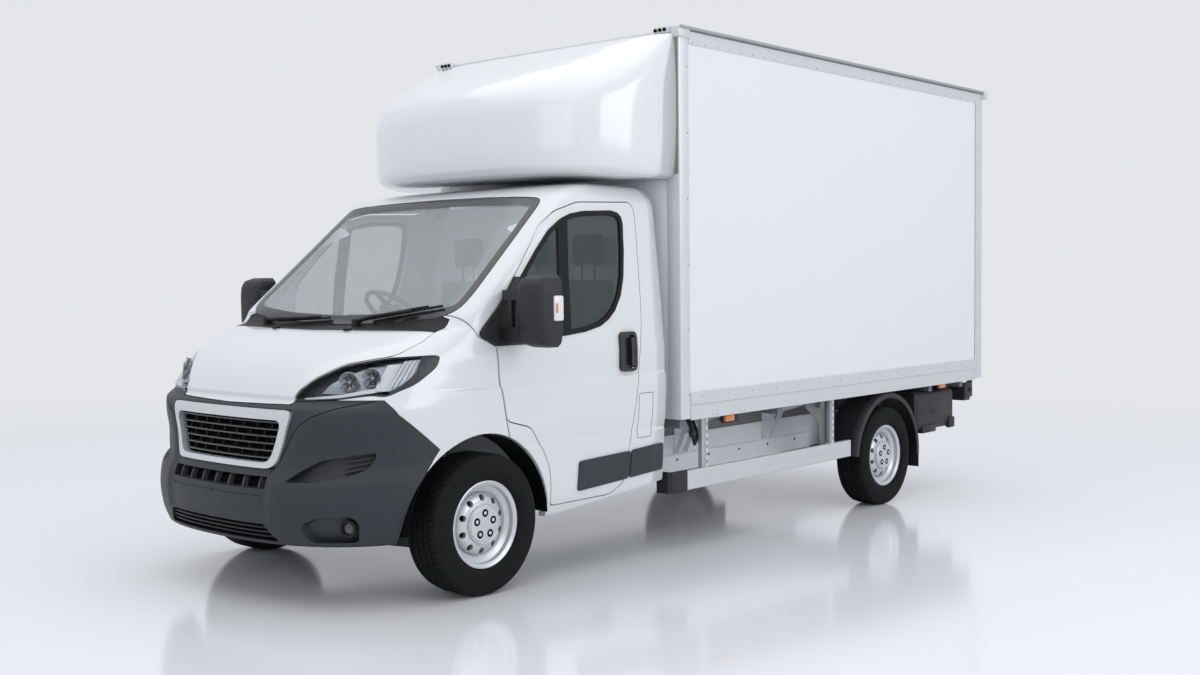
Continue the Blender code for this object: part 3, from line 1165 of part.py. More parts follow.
def build_lift(root):
    """Column tail lift: a carriage whose runners slide on the rear posts, and a platform folded up."""
    front = BOX_REAR + CONTACT_GAP
    back = front + RUNNER_DEPTH
    middle = back + PLATFORM_GAP + PLATFORM_THICK / 2
    inner, outer = PLATFORM_HALF + PLATFORM_GAP, PLATFORM_HALF + PLATFORM_GAP + RUNNER_WIDTH
    slide = empty("lift_slide", (0, front, CARRIAGE_BOTTOM), root)
    shapes = [block((-outer, front, CARRIAGE_BOTTOM), (outer, back, CARRIAGE_BOTTOM + CARRIAGE_HEIGHT))]
    for side in (1, -1):
        low, high = sorted((side * inner, side * outer))
        shapes.append(block((low, front, CARRIAGE_BOTTOM), (high, back, RUNNER_TOP)))
        shapes.append(block((low, front, CARRIAGE_BOTTOM), (high, middle, BOSS_HEIGHT)))
        shapes.append(rod((low, middle, BOSS_HEIGHT), (high, middle, BOSS_HEIGHT), BOSS_RADIUS))
    adopt(joined("lift_carriage", shapes, GALVANISED), slide)
    pivot = empty("platform_pivot", (0, middle, PLATFORM_PIVOT), root)
    half = PLATFORM_THICK / 2
    pin = PLATFORM_HALF + PLATFORM_GAP - CONTACT_GAP
    shapes = [block((-PLATFORM_HALF, middle - half, PLATFORM_PIVOT), (PLATFORM_HALF, middle + half, PLATFORM_TOP)),
              rod((-pin, middle, PLATFORM_PIVOT), (pin, middle, PLATFORM_PIVOT), half, 12)]
    adopt(joined("lift_platform", shapes, ALUMINIUM), pivot)


def build_exhaust(root):
    height, side = PIPE_HEIGHT, PIPE_SIDE
    start = ENGINE_FRONT + ENGINE_LENGTH + CONTACT_GAP
    silencer_start = CAB_REAR + SILENCER_LENGTH
    bend = height + PIPE_RADIUS * 3
    route = [(side * 0.6, start, bend), (side * 0.6, start + ARM_WIDTH, bend),
             (side, CAB_REAR / 2, height), (side, silencer_start, height)]
    shapes = [tube(route, PIPE_RADIUS, 10),
              rod((side, silencer_start, height), (side, silencer_start + SILENCER_LENGTH, height),
                  SILENCER_RADIUS),
              tube([(side, silencer_start + SILENCER_LENGTH / 2, height),
                    (side, silencer_start + SILENCER_LENGTH * 1.2, height),
                    (side * 1.2, silencer_start + SILENCER_LENGTH * 1.6, height)], PIPE_RADIUS, 10)]
    joined("exhaust", shapes, STEEL, root)


def centre_on_origin(root):
    """Move the whole van so that its length is centred on the origin."""
    bpy.context.view_layer.update()
    places = [(made.matrix_world @ vertex.co).y for made in bpy.data.objects if made.type == "MESH"
              for vertex in made.data.vertices]
    root.location.y -= (min(places) + max(places)) / 2
    bpy.context.view_layer.update()


def main():
    for old in list(bpy.data.objects):
        bpy.data.objects.remove(old)
    root = empty("van", (0, 0, 0), None, (BODY_RAKE, 0, 0))
    build_chassis(root)
    build_engine(root)
    build_running_gear(root)
    build_wheels(root)
    build_cab(root)
    build_grille(root)
    build_cab_floor(root)
    build_inside(root)
    build_box(root)
    build_fairing(root)
    build_sides(root)
    build_lift(root)
    build_exhaust(root)
    centre_on_origin(root)


main()
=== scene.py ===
"""Box van: looks, fine forms and small parts around the packed solid model."""
import json
import math

import bmesh
import bpy
import numpy as np
from mathutils import Matrix, Vector
from mathutils.bvhtree import BVHTree
from mathutils.geometry import barycentric_transform


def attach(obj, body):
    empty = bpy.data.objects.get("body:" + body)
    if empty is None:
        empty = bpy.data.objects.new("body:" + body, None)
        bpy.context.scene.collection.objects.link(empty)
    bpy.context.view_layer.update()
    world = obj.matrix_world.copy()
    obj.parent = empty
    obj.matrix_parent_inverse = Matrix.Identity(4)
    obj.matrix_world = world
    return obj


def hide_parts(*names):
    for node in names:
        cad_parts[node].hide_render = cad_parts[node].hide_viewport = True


bl_info = {
    "name": "Box van dresser",
    "version": (1, 0, 0),
    "blender": (4, 5, 0),
    "location": "3D View > Sidebar > Box van",
    "description": "Finishes a box van's solid model with its fine forms, small parts and materials",
    "category": "Object",
}

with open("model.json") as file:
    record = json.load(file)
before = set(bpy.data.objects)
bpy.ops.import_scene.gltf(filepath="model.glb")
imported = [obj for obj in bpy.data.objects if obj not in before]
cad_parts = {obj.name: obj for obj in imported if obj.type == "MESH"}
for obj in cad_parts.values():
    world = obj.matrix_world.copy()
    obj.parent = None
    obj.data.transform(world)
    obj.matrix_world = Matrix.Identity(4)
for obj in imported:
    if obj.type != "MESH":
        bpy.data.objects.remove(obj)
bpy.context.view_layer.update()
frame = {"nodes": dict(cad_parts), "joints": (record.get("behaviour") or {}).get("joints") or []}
JOINTS = {joint["name"]: joint for joint in frame["joints"]}
AXLE_Y = JOINTS["spin_front_left"]["pos_m"][1]
RAKE = math.radians(1.2)
VAN = Matrix.Translation((0, AXLE_Y, 0)) @ Matrix.Rotation(RAKE, 4, "X")


def wired(tree, *joins):
    """Join sockets of a node tree, each join given as source, output, target and input."""
    for source, output, target, entry in joins:
        tree.links.new(source.outputs[output], target.inputs[entry])


def math_node(tree, kind, operation):
    made = tree.nodes.new(kind)
    made.operation = operation
    return made


# Finishes. A row holds the slot that the finish stands for, its colour and its roughness, then inputs of
# the shader and what varies it: mottle (noise scale, share that it darkens by), scuff (noise scale,
# change of the roughness) and grain or cells (scale, strength and depth of a bump). A last number after
# any of these draws the pattern out along the van.
INPUTS = {"metal": "Metallic", "coat": "Coat Weight", "coat_rough": "Coat Roughness",
          "gloss": "Specular IOR Level", "alpha": "Alpha", "sheen": "Sheen Weight",
          "through": "Transmission Weight", "bend": "IOR"}
FINISHES = {
    "white_paint": ("white_paint", (0.7, 0.715, 0.74), 0.2, dict(
        coat=0.6, coat_rough=0.06, mottle=(2.5, 0.02), grain=(900, 0.02, 0.0005))),
    "panel_white": ("white_panel", (0.78, 0.79, 0.81), 0.32, dict(
        mottle=(1.2, 0.025), scuff=(3, 0.05), grain=(120, 0.03, 0.0006))),
    "fairing_gelcoat": ("white_panel", (0.76, 0.775, 0.79), 0.12, dict(
        coat=1.0, coat_rough=0.16, mottle=(1.5, 0.015))),
    "shutter_white": ("white_panel", (0.7, 0.71, 0.73), 0.4, dict(
        mottle=(5, 0.06), scuff=(12, 0.08), grain=(300, 0.04, 0.0004))),
    "slate_plastic": ("slate_plastic", (0.022, 0.026, 0.033), 0.5, dict(
        mottle=(6, 0.12), scuff=(14, 0.06), cells=(1400, 0.22, 0.0006))),
    "dash_plastic": ("slate_plastic", (0.03, 0.032, 0.037), 0.6, dict(
        mottle=(9, 0.15), cells=(1100, 0.25, 0.0006))),
    "black_plastic": ("black_plastic", (0.01, 0.01, 0.012), 0.5, dict(
        gloss=0.3, mottle=(8, 0.2), scuff=(20, 0.08), cells=(1500, 0.2, 0.0005))),
    "mirror_plastic": ("black_plastic", (0.012, 0.013, 0.015), 0.5, dict(
        mottle=(7, 0.15), scuff=(16, 0.07), cells=(1500, 0.25, 0.0005))),
    # A lighter copy of the mudguard's black plastic, used as a painted highlight on the mudguard's lip.
    "mudguard_plastic": ("black_plastic", (0.022, 0.024, 0.028), 0.55, dict(
        mottle=(8, 0.2), scuff=(14, 0.1), grain=(800, 0.15, 0.0006))),
    "rubber_seal": ("black_plastic", (0.006, 0.006, 0.007), 0.55, dict(
        gloss=0.25, mottle=(30, 0.2), scuff=(40, 0.08), grain=(900, 0.08, 0.0003))),
    "handle_black": ("black_plastic", (0.01, 0.01, 0.011), 0.28, dict(
        coat=0.3, mottle=(9, 0.15), scuff=(20, 0.06))),
    "wiper_black": ("black_plastic", (0.007, 0.007, 0.008), 0.5, dict(mottle=(20, 0.2), scuff=(25, 0.1))),
    "black_gloss": ("black_plastic", (0.014, 0.016, 0.018), 0.2, dict(coat=0.3, mottle=(10, 0.1))),
    # A near black for black parts and seams, and for painted shade: the sheets behind the bumper's and grille's
    # openings, the guards' slots and the rings round the wheel bolts.
    "deep_black": ("black_plastic", (0.004, 0.004, 0.005), 0.8, dict(gloss=0.08, mottle=(10, 0.3))),
    "grille_grey": ("black_plastic", (0.075, 0.078, 0.085), 0.35, dict(
        coat=0.3, mottle=(12, 0.15), scuff=(20, 0.06))),
    "lamp_dark": ("black_plastic", (0.05, 0.053, 0.058), 0.35, dict(
        mottle=(12, 0.15), scuff=(20, 0.08), grain=(900, 0.06, 0.0003))),
    # A mid grey used as a painted shadow under the roof gutter and as painted shade in the fairing's gap, and for
    # the dark lines at the rail's lap and the rear post's seam.
    "gutter_dark": ("black_plastic", (0.22, 0.23, 0.24), 0.5, dict(mottle=(6, 0.2))),
    "tyre_rubber": ("tyre_rubber", (0.007, 0.007, 0.008), 0.78, dict(
        gloss=0.2, mottle=(18, 0.25), scuff=(30, 0.1), grain=(700, 0.15, 0.0006))),
    "wheel_silver": ("bright_steel", (0.62, 0.64, 0.67), 0.34, dict(
        metal=0.65, mottle=(12, 0.06), scuff=(40, 0.06), grain=(1200, 0.05, 0.0004))),
    "mill_aluminium": ("mill_aluminium", (0.66, 0.68, 0.71), 0.34, dict(
        metal=0.75, mottle=(5, 0.06), scuff=(60, 0.1, 0.04), grain=(400, 0.05, 0.0004, 0.03))),
    "rail_alloy": ("mill_aluminium", (0.66, 0.675, 0.7), 0.38, dict(
        metal=0.35, mottle=(4, 0.05), scuff=(30, 0.07, 0.08), grain=(500, 0.03, 0.0003, 0.05))),
    "gutter_grey": ("mill_aluminium", (0.42, 0.43, 0.45), 0.4, dict(
        metal=0.4, mottle=(5, 0.1, 0.2), scuff=(20, 0.08))),
    "rivet_grey": ("mill_aluminium", (0.36, 0.37, 0.39), 0.38, dict(metal=0.6, mottle=(50, 0.2))),
    "rail_grey": ("frame_steel", (0.74, 0.76, 0.79), 0.42, dict(
        metal=0.1, mottle=(7, 0.12), scuff=(12, 0.1), grain=(260, 0.06, 0.0005))),
    "galvanised": ("frame_steel", (0.52, 0.54, 0.57), 0.45, dict(
        metal=0.55, mottle=(30, 0.2), scuff=(25, 0.12), grain=(300, 0.08, 0.0005))),
    "galvanised_dark": ("frame_steel", (0.22, 0.225, 0.235), 0.5, dict(
        metal=0.4, mottle=(9, 0.2), scuff=(20, 0.1), cells=(200, 0.06, 0.0004))),
    "black_steel": ("black_steel", (0.02, 0.021, 0.024), 0.5, dict(
        mottle=(10, 0.3), scuff=(18, 0.12), grain=(350, 0.1, 0.0006))),
    "cast_metal": ("cast_metal", (0.16, 0.16, 0.17), 0.6, dict(
        metal=0.5, mottle=(30, 0.3), grain=(220, 0.3, 0.001))),
    "seat_cloth": ("seat_cloth", (0.045, 0.048, 0.056), 0.88, dict(
        sheen=0.3, mottle=(60, 0.35), grain=(1300, 0.5, 0.001))),
    "bright_trim": ("bright_trim", (0.66, 0.675, 0.7), 0.26, dict(
        metal=0.4, mottle=(10, 0.05), scuff=(30, 0.05))),
    "mirror_silver": ("bright_trim", (0.75, 0.78, 0.8), 0.04, dict(metal=1.0, mottle=(3, 0.02))),
    "lamp_chrome": ("bright_trim", (0.82, 0.84, 0.87), 0.1, dict(
        metal=1.0, mottle=(20, 0.04), scuff=(30, 0.04))),
    "lamp_white": ("bright_trim", (0.74, 0.75, 0.77), 0.2, dict(
        coat=0.6, mottle=(30, 0.06), cells=(300, 0.1, 0.0004))),
    "lamp_bowl": ("bright_trim", (0.42, 0.435, 0.46), 0.24, dict(
        metal=0.5, mottle=(26, 0.25), scuff=(30, 0.06), cells=(90, 0.25, 0.0012))),
    "lamp_clear": ("lamp_glass", (0.9, 0.92, 0.94), 0.05, dict(through=1.0, bend=1.05)),
    "fog_lens": ("lamp_glass", (0.03, 0.032, 0.036), 0.12, dict(
        coat=1.0, mottle=(40, 0.2), cells=(160, 0.3, 0.0008))),
    "indicator_lens": ("lamp_glass", (0.8, 0.8, 0.81), 0.1, dict(
        coat=1.0, mottle=(60, 0.12), cells=(220, 0.25, 0.0006))),
    "amber_lens": ("lamp_glass", (0.8, 0.24, 0.03), 0.15, dict(
        coat=1.0, mottle=(60, 0.25), cells=(260, 0.2, 0.0005))),
    "lamp_red": ("lamp_glass", (0.42, 0.012, 0.012), 0.12, dict(
        coat=1.0, mottle=(50, 0.25), cells=(260, 0.2, 0.0005))),
    # Panes let part of the light straight through. The rest of the windscreen is a pale colour painted on it as a
    # painted reflection of the room; the rest of a door pane is a dark colour.
    "screen_pane": ("clear_glass", (0.84, 0.92, 0.93), 0.05, dict(
        coat=1.0, alpha=0.2, coat_rough=0.01, mottle=(0.9, 0.05))),
    "door_pane": ("clear_glass", (0.026, 0.045, 0.046), 0.05, dict(
        coat=1.0, alpha=0.46, coat_rough=0.01, mottle=(0.9, 0.05))),
    "studio_floor": (None, (0.8, 0.81, 0.83), 0.13, dict(mottle=(0.8, 0.01))),
}
MADE = {}


def finish_of(name):
    """The material of a finish, made once, on first use; a user may choose some of the colours."""
    if name in MADE:
        return MADE[name]
    _, colour, roughness, more = FINISHES[name]
    colour = tuple(getattr(bpy.context.scene.van_looks, name, colour))
    material = MADE[name] = bpy.data.materials.new(name)
    material.use_nodes = True
    material.diffuse_color = (*colour, 1)
    tree = material.node_tree
    node = tree.nodes.new
    shader = tree.nodes["Principled BSDF"]
    shader.inputs["Base Color"].default_value = (*colour, 1)
    shader.inputs["Roughness"].default_value = roughness
    for key, entry in INPUTS.items():
        if key in more:
            shader.inputs[entry].default_value = more[key]
    place = node("ShaderNodeTexCoord")

    def pattern(kind, scale, stretch=1, detail=None):
        """A texture in object coordinates."""
        mapping, made = node("ShaderNodeMapping"), node(kind)
        mapping.inputs["Scale"].default_value = (1, stretch, 1)
        made.inputs["Scale"].default_value = scale
        if detail:
            made.inputs["Detail"].default_value = detail
        wired(tree, (place, "Object", mapping, "Vector"), (mapping, "Vector", made, "Vector"))
        return made

    if "mottle" in more:
        scale, amount, *stretch = more["mottle"]
        mix = node("ShaderNodeMix")
        mix.data_type = "RGBA"
        mix.inputs["A"].default_value = (*(channel * (1 - amount) for channel in colour), 1)
        mix.inputs["B"].default_value = (*colour, 1)
        noise = pattern("ShaderNodeTexNoise", scale, *stretch or [1], detail=4)
        wired(tree, (noise, "Fac", mix, "Factor"), (mix, "Result", shader, "Base Color"))
    if "scuff" in more:
        scale, amount, *stretch = more["scuff"]
        span = node("ShaderNodeMapRange")
        span.inputs["To Min"].default_value = max(roughness - amount, 0.02)
        span.inputs["To Max"].default_value = min(roughness + amount, 1)
        noise = pattern("ShaderNodeTexNoise", scale, *stretch or [1], detail=4)
        wired(tree, (noise, "Fac", span, "Value"), (span, "Result", shader, "Roughness"))
    for key, kind, output, detail in (("grain", "ShaderNodeTexNoise", "Fac", 3),
        ("cells", "ShaderNodeTexVoronoi", "Distance", None)):
        if key in more:
            scale, strength, depth, *stretch = more[key]
            bump = node("ShaderNodeBump")
            bump.inputs["Strength"].default_value = strength
            bump.inputs["Distance"].default_value = depth
            height = pattern(kind, scale, *stretch or [1], detail=detail)
            wired(tree, (height, output, bump, "Height"), (bump, "Normal", shader, "Normal"))
    return material


# The finish of every node that is shown as the solid model has it
NODE_FINISHES = {
    "white_paint": ("cab_floor",),
    "panel_white": ("box_side_left", "box_side_right"),
    "black_plastic": ("fuel_tank",),
    "rail_alloy": ("box_rear_frame", "box_floor", "box_roof"),
    "mill_aluminium": ("lift_platform",),
    "rail_grey": ("chassis_frame",),
    "galvanised": ("lift_carriage", "exhaust", "engine_block"),
    "galvanised_dark": ("body_subframe",),
    "black_steel": ("front_subframe", "rear_axle", "rear_beam"),
    "cast_metal": ("knuckle_left", "knuckle_right"),
}


def paint_nodes():
    for finish, names in NODE_FINISHES.items():
        for name in names:
            node = frame["nodes"][name]
            node.data.materials.clear()
            node.data.materials.append(finish_of(finish))
            node.data.shade_smooth()
            node.data.set_sharp_from_angle(angle=math.radians(28))


# Shapes
SIDES = (("left", 1), ("right", -1))


def as_object(name, bm):
    mesh = bpy.data.meshes.new(name)
    bm.to_mesh(mesh)
    bm.free()
    made = bpy.data.objects.new(name, mesh)
    bpy.context.scene.collection.objects.link(made)
    return made


def loft(rings, closed=True):
    """Skin rings of equal count, with both ends capped."""
    bm = bmesh.new()
    rows = [[bm.verts.new(point) for point in ring] for ring in rings]
    count = len(rows[0])
    for low, high in zip(rows, rows[1:]):
        for k in range(count if closed else count - 1):
            after = (k + 1) % count
            bm.faces.new((low[k], low[after], high[after], high[k]))
    bm.faces.new(rows[0])
    bm.faces.new(rows[-1])
    bmesh.ops.recalc_face_normals(bm, faces=bm.faces)
    return bm


def swept(section, centre, radius, start, turned_by, steps):
    """Sweep a section of (X, rise) pairs along an arc that is seen from the side."""
    rings = []
    for k in range(steps + 1):
        turn = math.radians(start + turned_by * k / steps)
        rings.append([(x, centre[0] + (radius + rise) * math.cos(turn),
                    centre[1] + (radius + rise) * math.sin(turn)) for x, rise in section])
    return loft(rings)


def prism(outline, axis, low, high):
    """Extrude a flat outline along an axis; its pairs follow the other two axes in order."""
    def point(pair, depth):
        spots = list(pair)
        spots.insert("XYZ".index(axis), depth)
        return spots
    return loft([[point(pair, depth) for pair in outline] for depth in (low, high)])


def block(low, high, bevel=0.0, segments=2):
    bm = bmesh.new()
    size, middle = Vector(high) - Vector(low), (Vector(high) + Vector(low)) / 2
    bmesh.ops.create_cube(bm, size=1, matrix=Matrix.Translation(middle) @ Matrix.Diagonal((*size, 1)))
    if bevel:
        bmesh.ops.bevel(bm, geom=list(bm.edges), offset=bevel, segments=segments, profile=0.5, affect="EDGES")
    bmesh.ops.recalc_face_normals(bm, faces=bm.faces)
    return bm


def tube(points, radius, steps=12):
    """A round bar along a route, thinner or thicker where the radius is a list."""
    points = [Vector(point) for point in points]
    radii = radius if isinstance(radius, (list, tuple)) else [radius] * len(points)
    rings, side = [], None
    for k, point in enumerate(points):
        along = (points[min(k + 1, len(points) - 1)] - points[max(k - 1, 0)]).normalized()
        if side is None:
            side = along.orthogonal().normalized()
        side = (side - along * side.dot(along)).normalized()
        up = along.cross(side)
        rings.append([point + radii[k] * (math.cos(turn) * side + math.sin(turn) * up)
                      for turn in (math.tau * j / steps for j in range(steps))])
    return loft(rings)


def curve_through(points, steps=8):
    """A smooth route through given points."""
    points = [Vector(point) for point in points]
    out = []
    for k in range(len(points) - 1):
        a, b, c, d = (points[max(k - 1, 0)], points[k], points[k + 1], points[min(k + 2, len(points) - 1)])
        for j in range(steps):
            t = j / steps
            out.append(0.5 * (2 * b + (c - a) * t + (2 * a - 5 * b + 4 * c - d) * t * t
                              + (3 * b - a - 3 * c + d) * t ** 3))
    return out + [points[-1]]


def turned(profile, steps, closed=True):
    """Turn an (along, radius) profile about the X axis."""
    bm = bmesh.new()
    rows = [[bm.verts.new((along, radius * math.cos(turn), radius * math.sin(turn))) for along,
            radius in profile] for turn in (math.tau * k / steps for k in range(steps))]
    last = len(profile) if closed else len(profile) - 1
    for k in range(steps):
        one, two = rows[k], rows[(k + 1) % steps]
        for j in range(last):
            after = (j + 1) % len(profile)
            bm.faces.new((one[j], one[after], two[after], two[j]))
    bmesh.ops.remove_doubles(bm, verts=bm.verts, dist=0.00002)
    bmesh.ops.dissolve_degenerate(bm, edges=bm.edges, dist=0.00002)
    bmesh.ops.recalc_face_normals(bm, faces=bm.faces)
    return bm


def aimed(*way):
    """The turn that points the X axis along a way."""
    return Vector(way).to_track_quat("X", "Z").to_matrix().to_4x4()


def moved(bm, offset=(0, 0, 0), turn=None):
    matrix = Matrix.Translation(Vector(offset))
    bmesh.ops.transform(bm, matrix=matrix @ turn if turn else matrix, verts=bm.verts)
    return bm


def merged(*shapes):
    """Several closed shapes as one mesh."""
    out = bmesh.new()
    for shape in shapes:
        mesh = bpy.data.meshes.new("part")
        shape.to_mesh(mesh)
        shape.free()
        out.from_mesh(mesh)
        bpy.data.meshes.remove(mesh)
    return out


def copied(bm, side=1):
    """A copy of a left-hand shape, flipped to the right where the side is -1."""
    out = bm.copy()
    if side < 0:
        bmesh.ops.scale(out, verts=out.verts, vec=Vector((-1, 1, 1)))
        bmesh.ops.reverse_faces(out, faces=out.faces)
    return out


def settled(made):
    """Turn what an object's modifiers make into its plain mesh."""
    shapes = bpy.context.evaluated_depsgraph_get()
    result = bpy.data.meshes.new_from_object(made.evaluated_get(shapes), depsgraph=shapes)
    made.modifiers.clear()
    old, made.data = made.data, result
    bpy.data.meshes.remove(old)
    return made


def boolean(target, tool_bm, operation):
    """Cut or cross the target with a tool shape and keep the plain result."""
    bmesh.ops.recalc_face_normals(tool_bm, faces=tool_bm.faces)
    tool = as_object("tool", tool_bm)
    change = target.modifiers.new(operation.lower(), "BOOLEAN")
    change.operation = operation
    change.object = tool
    settled(target)
    taken(tool).free()


def taken(made):
    """Take an object's mesh back as a loose shape."""
    bm = bmesh.new()
    bm.from_mesh(made.data)
    mesh = made.data
    bpy.data.objects.remove(made)
    bpy.data.meshes.remove(mesh)
    return bm


def cut(bm, *tools):
    made = as_object("work", bm)
    for tool in tools:
        boolean(made, tool, "DIFFERENCE")
    return taken(made)


def present(name, bm, finish, body="chassis", replaces="", sharp=30, place=VAN, skin=0.0, slot=None):
    """Make a finished piece of a shape, which is modelled in body coordinates, and hang it on its body."""
    bmesh.ops.transform(bm, matrix=place, verts=bm.verts)
    made = as_object(name, bm)
    made.data.materials.append(finish_of(finish))
    made.data.shade_smooth()
    made.data.set_sharp_from_angle(angle=math.radians(sharp))
    if skin:
        follow_skin(made.data, skin)
    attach(made, body)
    if replaces:
        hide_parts(replaces)
    return made


def present_pair(name, bm, finish, body="chassis", replaces="", **more):
    """The left piece and its mirrored twin; bodies and nodes take the side's word."""
    for word, side in SIDES:
        present(name + "_" + word, copied(bm, side), finish, body.format(word), replaces.format(word), **more)
    bm.free()


# Geometry Nodes for what repeats
TREES = {}


def repeat_tree(kind):
    """A node tree that repeats its own mesh in a row, or round an axis."""
    if kind in TREES:
        return TREES[kind]
    tree = TREES[kind] = bpy.data.node_groups.new("repeat_in_a_" + kind, "GeometryNodeTree")
    for name, way, sort in (("Geometry", "INPUT", "Geometry"), ("Count", "INPUT", "Int"),
        ("Step", "INPUT", "Vector"), ("Finish", "INPUT", "Material"), ("Geometry", "OUTPUT", "Geometry")):
        tree.interface.new_socket(name, in_out=way, socket_type="NodeSocket" + sort)
    given, line, spread, real, coat, out = (tree.nodes.new(sort) for sort in ("NodeGroupInput",
            "GeometryNodeMeshLine", "GeometryNodeInstanceOnPoints", "GeometryNodeRealizeInstances",
            "GeometryNodeSetMaterial", "NodeGroupOutput"))
    if kind == "row":
        wired(tree, (given, "Step", line, "Offset"))
    else:
        line.inputs["Offset"].default_value = (0, 0, 0)
        index, scale = tree.nodes.new("GeometryNodeInputIndex"), math_node(tree, "ShaderNodeVectorMath", "SCALE")
        wired(tree, (given, "Step", scale, 0), (index, "Index", scale, "Scale"),
            (scale, "Vector", spread, "Rotation"))
    wired(tree, (given, "Count", line, "Count"), (line, "Mesh", spread, "Points"),
        (given, "Geometry", spread, "Instance"), (spread, "Instances", real, "Geometry"),
        (real, "Geometry", coat, "Geometry"), (given, "Finish", coat, "Material"),
        (coat, "Geometry", out, "Geometry"))
    return tree


def repeated(bm, count, step, finish, kind="row"):
    """The shape repeated by its node tree, as one plain shape again."""
    made = as_object("repeat", bm)
    made.data.materials.append(finish_of(finish))
    change = made.modifiers.new("repeat", "NODES")
    change.node_group = repeat_tree(kind)
    values = {"Count": count, "Step": step, "Finish": finish_of(finish)}
    for item in change.node_group.interface.items_tree:
        if item.in_out == "INPUT" and item.name in values:
            change[item.identifier] = values[item.name]
    return taken(settled(made))


def round_repeat(bm, count, finish):
    """The shape repeated round the X axis."""
    return repeated(bm, count, (math.tau / count, 0, 0), finish, "ring")


# Cab hull: the solid model's own table, drawn finer
OVERHANG = 0.948
CAB_LENGTH = 2.388
CAB_REAR = 1.44
CAB_TOP = 2.15
CAB_HALF = 1.02
CUT = 0.2
# height, nose, start of the flat side, half width as shares of the cab, then corner sharpness
CAB_LEVELS = np.array((
    (0.153, 0.018, 0.313, 0.936, 2.5), (0.195, 0.005, 0.313, 0.966, 2.5), (0.242, 0.001, 0.313, 0.975, 2.5),
    (0.288, 0.008, 0.313, 0.980, 2.5), (0.326, 0.026, 0.334, 0.985, 2.5), (0.372, 0.033, 0.355, 0.995, 2.6),
    (0.419, 0.037, 0.376, 0.998, 2.9), (0.454, 0.043, 0.397, 1.000, 3.1), (0.470, 0.062, 0.410, 1.000, 3.2),
    (0.488, 0.072, 0.418, 0.998, 3.2), (0.512, 0.084, 0.422, 0.996, 3.1), (0.535, 0.100, 0.426, 0.993, 3.0),
    (0.558, 0.123, 0.430, 0.990, 3.0), (0.581, 0.160, 0.430, 0.985, 3.0), (0.605, 0.217, 0.430, 0.980, 3.0),
    (0.621, 0.267, 0.430, 0.977, 3.2), (0.631, 0.322, 0.439, 0.975, 4.5), (0.665, 0.357, 0.451, 0.970, 6.0),
    (0.744, 0.439, 0.531, 0.953, 6.0), (0.837, 0.536, 0.627, 0.932, 6.0), (0.930, 0.632, 0.724, 0.909, 6.0),
    (0.955, 0.658, 0.749, 0.887, 6.0), (0.972, 0.690, 0.774, 0.853, 5.0), (0.984, 0.732, 0.816, 0.814, 4.0),
    (0.993, 0.795, 0.879, 0.745, 4.0), (1.000, 0.880, 0.940, 0.600, 4.0)))
CORNER_POINTS = 60
SIDE_POINTS = 12


def side_outline(shares):
    return [(CAB_LENGTH * along - OVERHANG, CAB_TOP * up) for along, up in shares]


def front_outline(shares):
    return [(CAB_HALF * out, CAB_TOP * up) for out, up in shares]


def mirror_outline(half):
    return list(half) + [(-x, z) for x, z in reversed(half) if x > 0]


DOOR = side_outline(((0.46, 0.405), (0.442, 0.5), (0.437, 0.583), (0.389, 0.609), (0.392, 0.622), (0.458, 0.69),
        (0.6, 0.872), (0.65, 0.911), (0.727, 0.936), (0.915, 0.943), (0.926, 0.928), (0.928, 0.87), (0.921, 0.63),
        (0.897, 0.474), (0.868, 0.284), (0.852, 0.205), (0.804, 0.18), (0.604, 0.18), (0.603, 0.23),
        (0.596, 0.28), (0.575, 0.323), (0.532, 0.384)))
WINDOW = [(0.285, 1.29), (0.264, 1.312), (0.264, 1.53), (0.296, 1.6), (0.43, 1.745), (0.54, 1.852), (0.64, 1.914),
    (0.72, 1.944), (0.83, 1.962), (1.06, 1.972), (1.115, 1.962), (1.143, 1.938), (1.152, 1.9), (1.142, 1.75),
    (1.118, 1.6), (1.082, 1.5), (1.023, 1.415), (0.965, 1.368), (0.895, 1.334), (0.77, 1.308), (0.6, 1.292)]
WING_REAR = side_outline(((0.46, 0.405), (0.442, 0.5), (0.437, 0.583), (0.389, 0.609), (0.36, 0.66)))
BUMPER = side_outline(((-0.1, 0.1), (0.205, 0.1), (0.205, 0.17), (0.224, 0.268), (0.246, 0.316), (0.274, 0.359),
        (0.186, 0.444), (0.167, 0.4765), (0.12, 0.4765), (-0.1, 0.4765)))
HEADLAMP = [(0.479, 1.015), (0.489, 1.054), (0.55, 1.118), (0.662, 1.185), (0.833, 1.221), (0.968, 1.229),
    (0.974, 1.175), (0.955, 1.092), (0.9, 1.04), (0.854, 1.049), (0.713, 1.028)]
SCREEN = mirror_outline(front_outline(((0.0, 0.633), (0.44, 0.639), (0.78, 0.653), (0.865, 0.67), (0.878, 0.698),
            (0.82, 0.93), (0.795, 0.945), (0.68, 0.95), (0.39, 0.9545), (0.0, 0.9565))))
BONNET_FRONT = mirror_outline(front_outline(((0.0, 0.46), (0.47, 0.464), (0.473, 0.49), (0.533, 0.521),
            (0.645, 0.553), (0.814, 0.57), (0.838, 0.578), (0.862, 0.6), (0.85, 0.65), (0.0, 0.75))))
BONNET_REAR = [(CAB_HALF * out, CAB_LENGTH * along - OVERHANG) for out,
    along in ((0.0, 0.267), (0.4, 0.277), (0.7, 0.297), (0.86, 0.312), (0.95, 0.33))]
SILL = side_outline(((0.54, 0.0), (0.54, 0.146), (1.05, 0.198), (1.05, 0.0)))
ARCH_CENTRE = side_outline(((0.393, 0.156),))[0]
ARCH_RADIUS = 0.488
SCREEN_REAR = CAB_LENGTH * 0.7 - OVERHANG
SCUTTLE_REAR = CAB_LENGTH * 0.37 - OVERHANG
LAMP_REAR = CAB_LENGTH * 0.29 - OVERHANG
GRILLE = [(-0.524, 0.976), (0.524, 0.976), (0.424, 0.689), (-0.424, 0.689)]


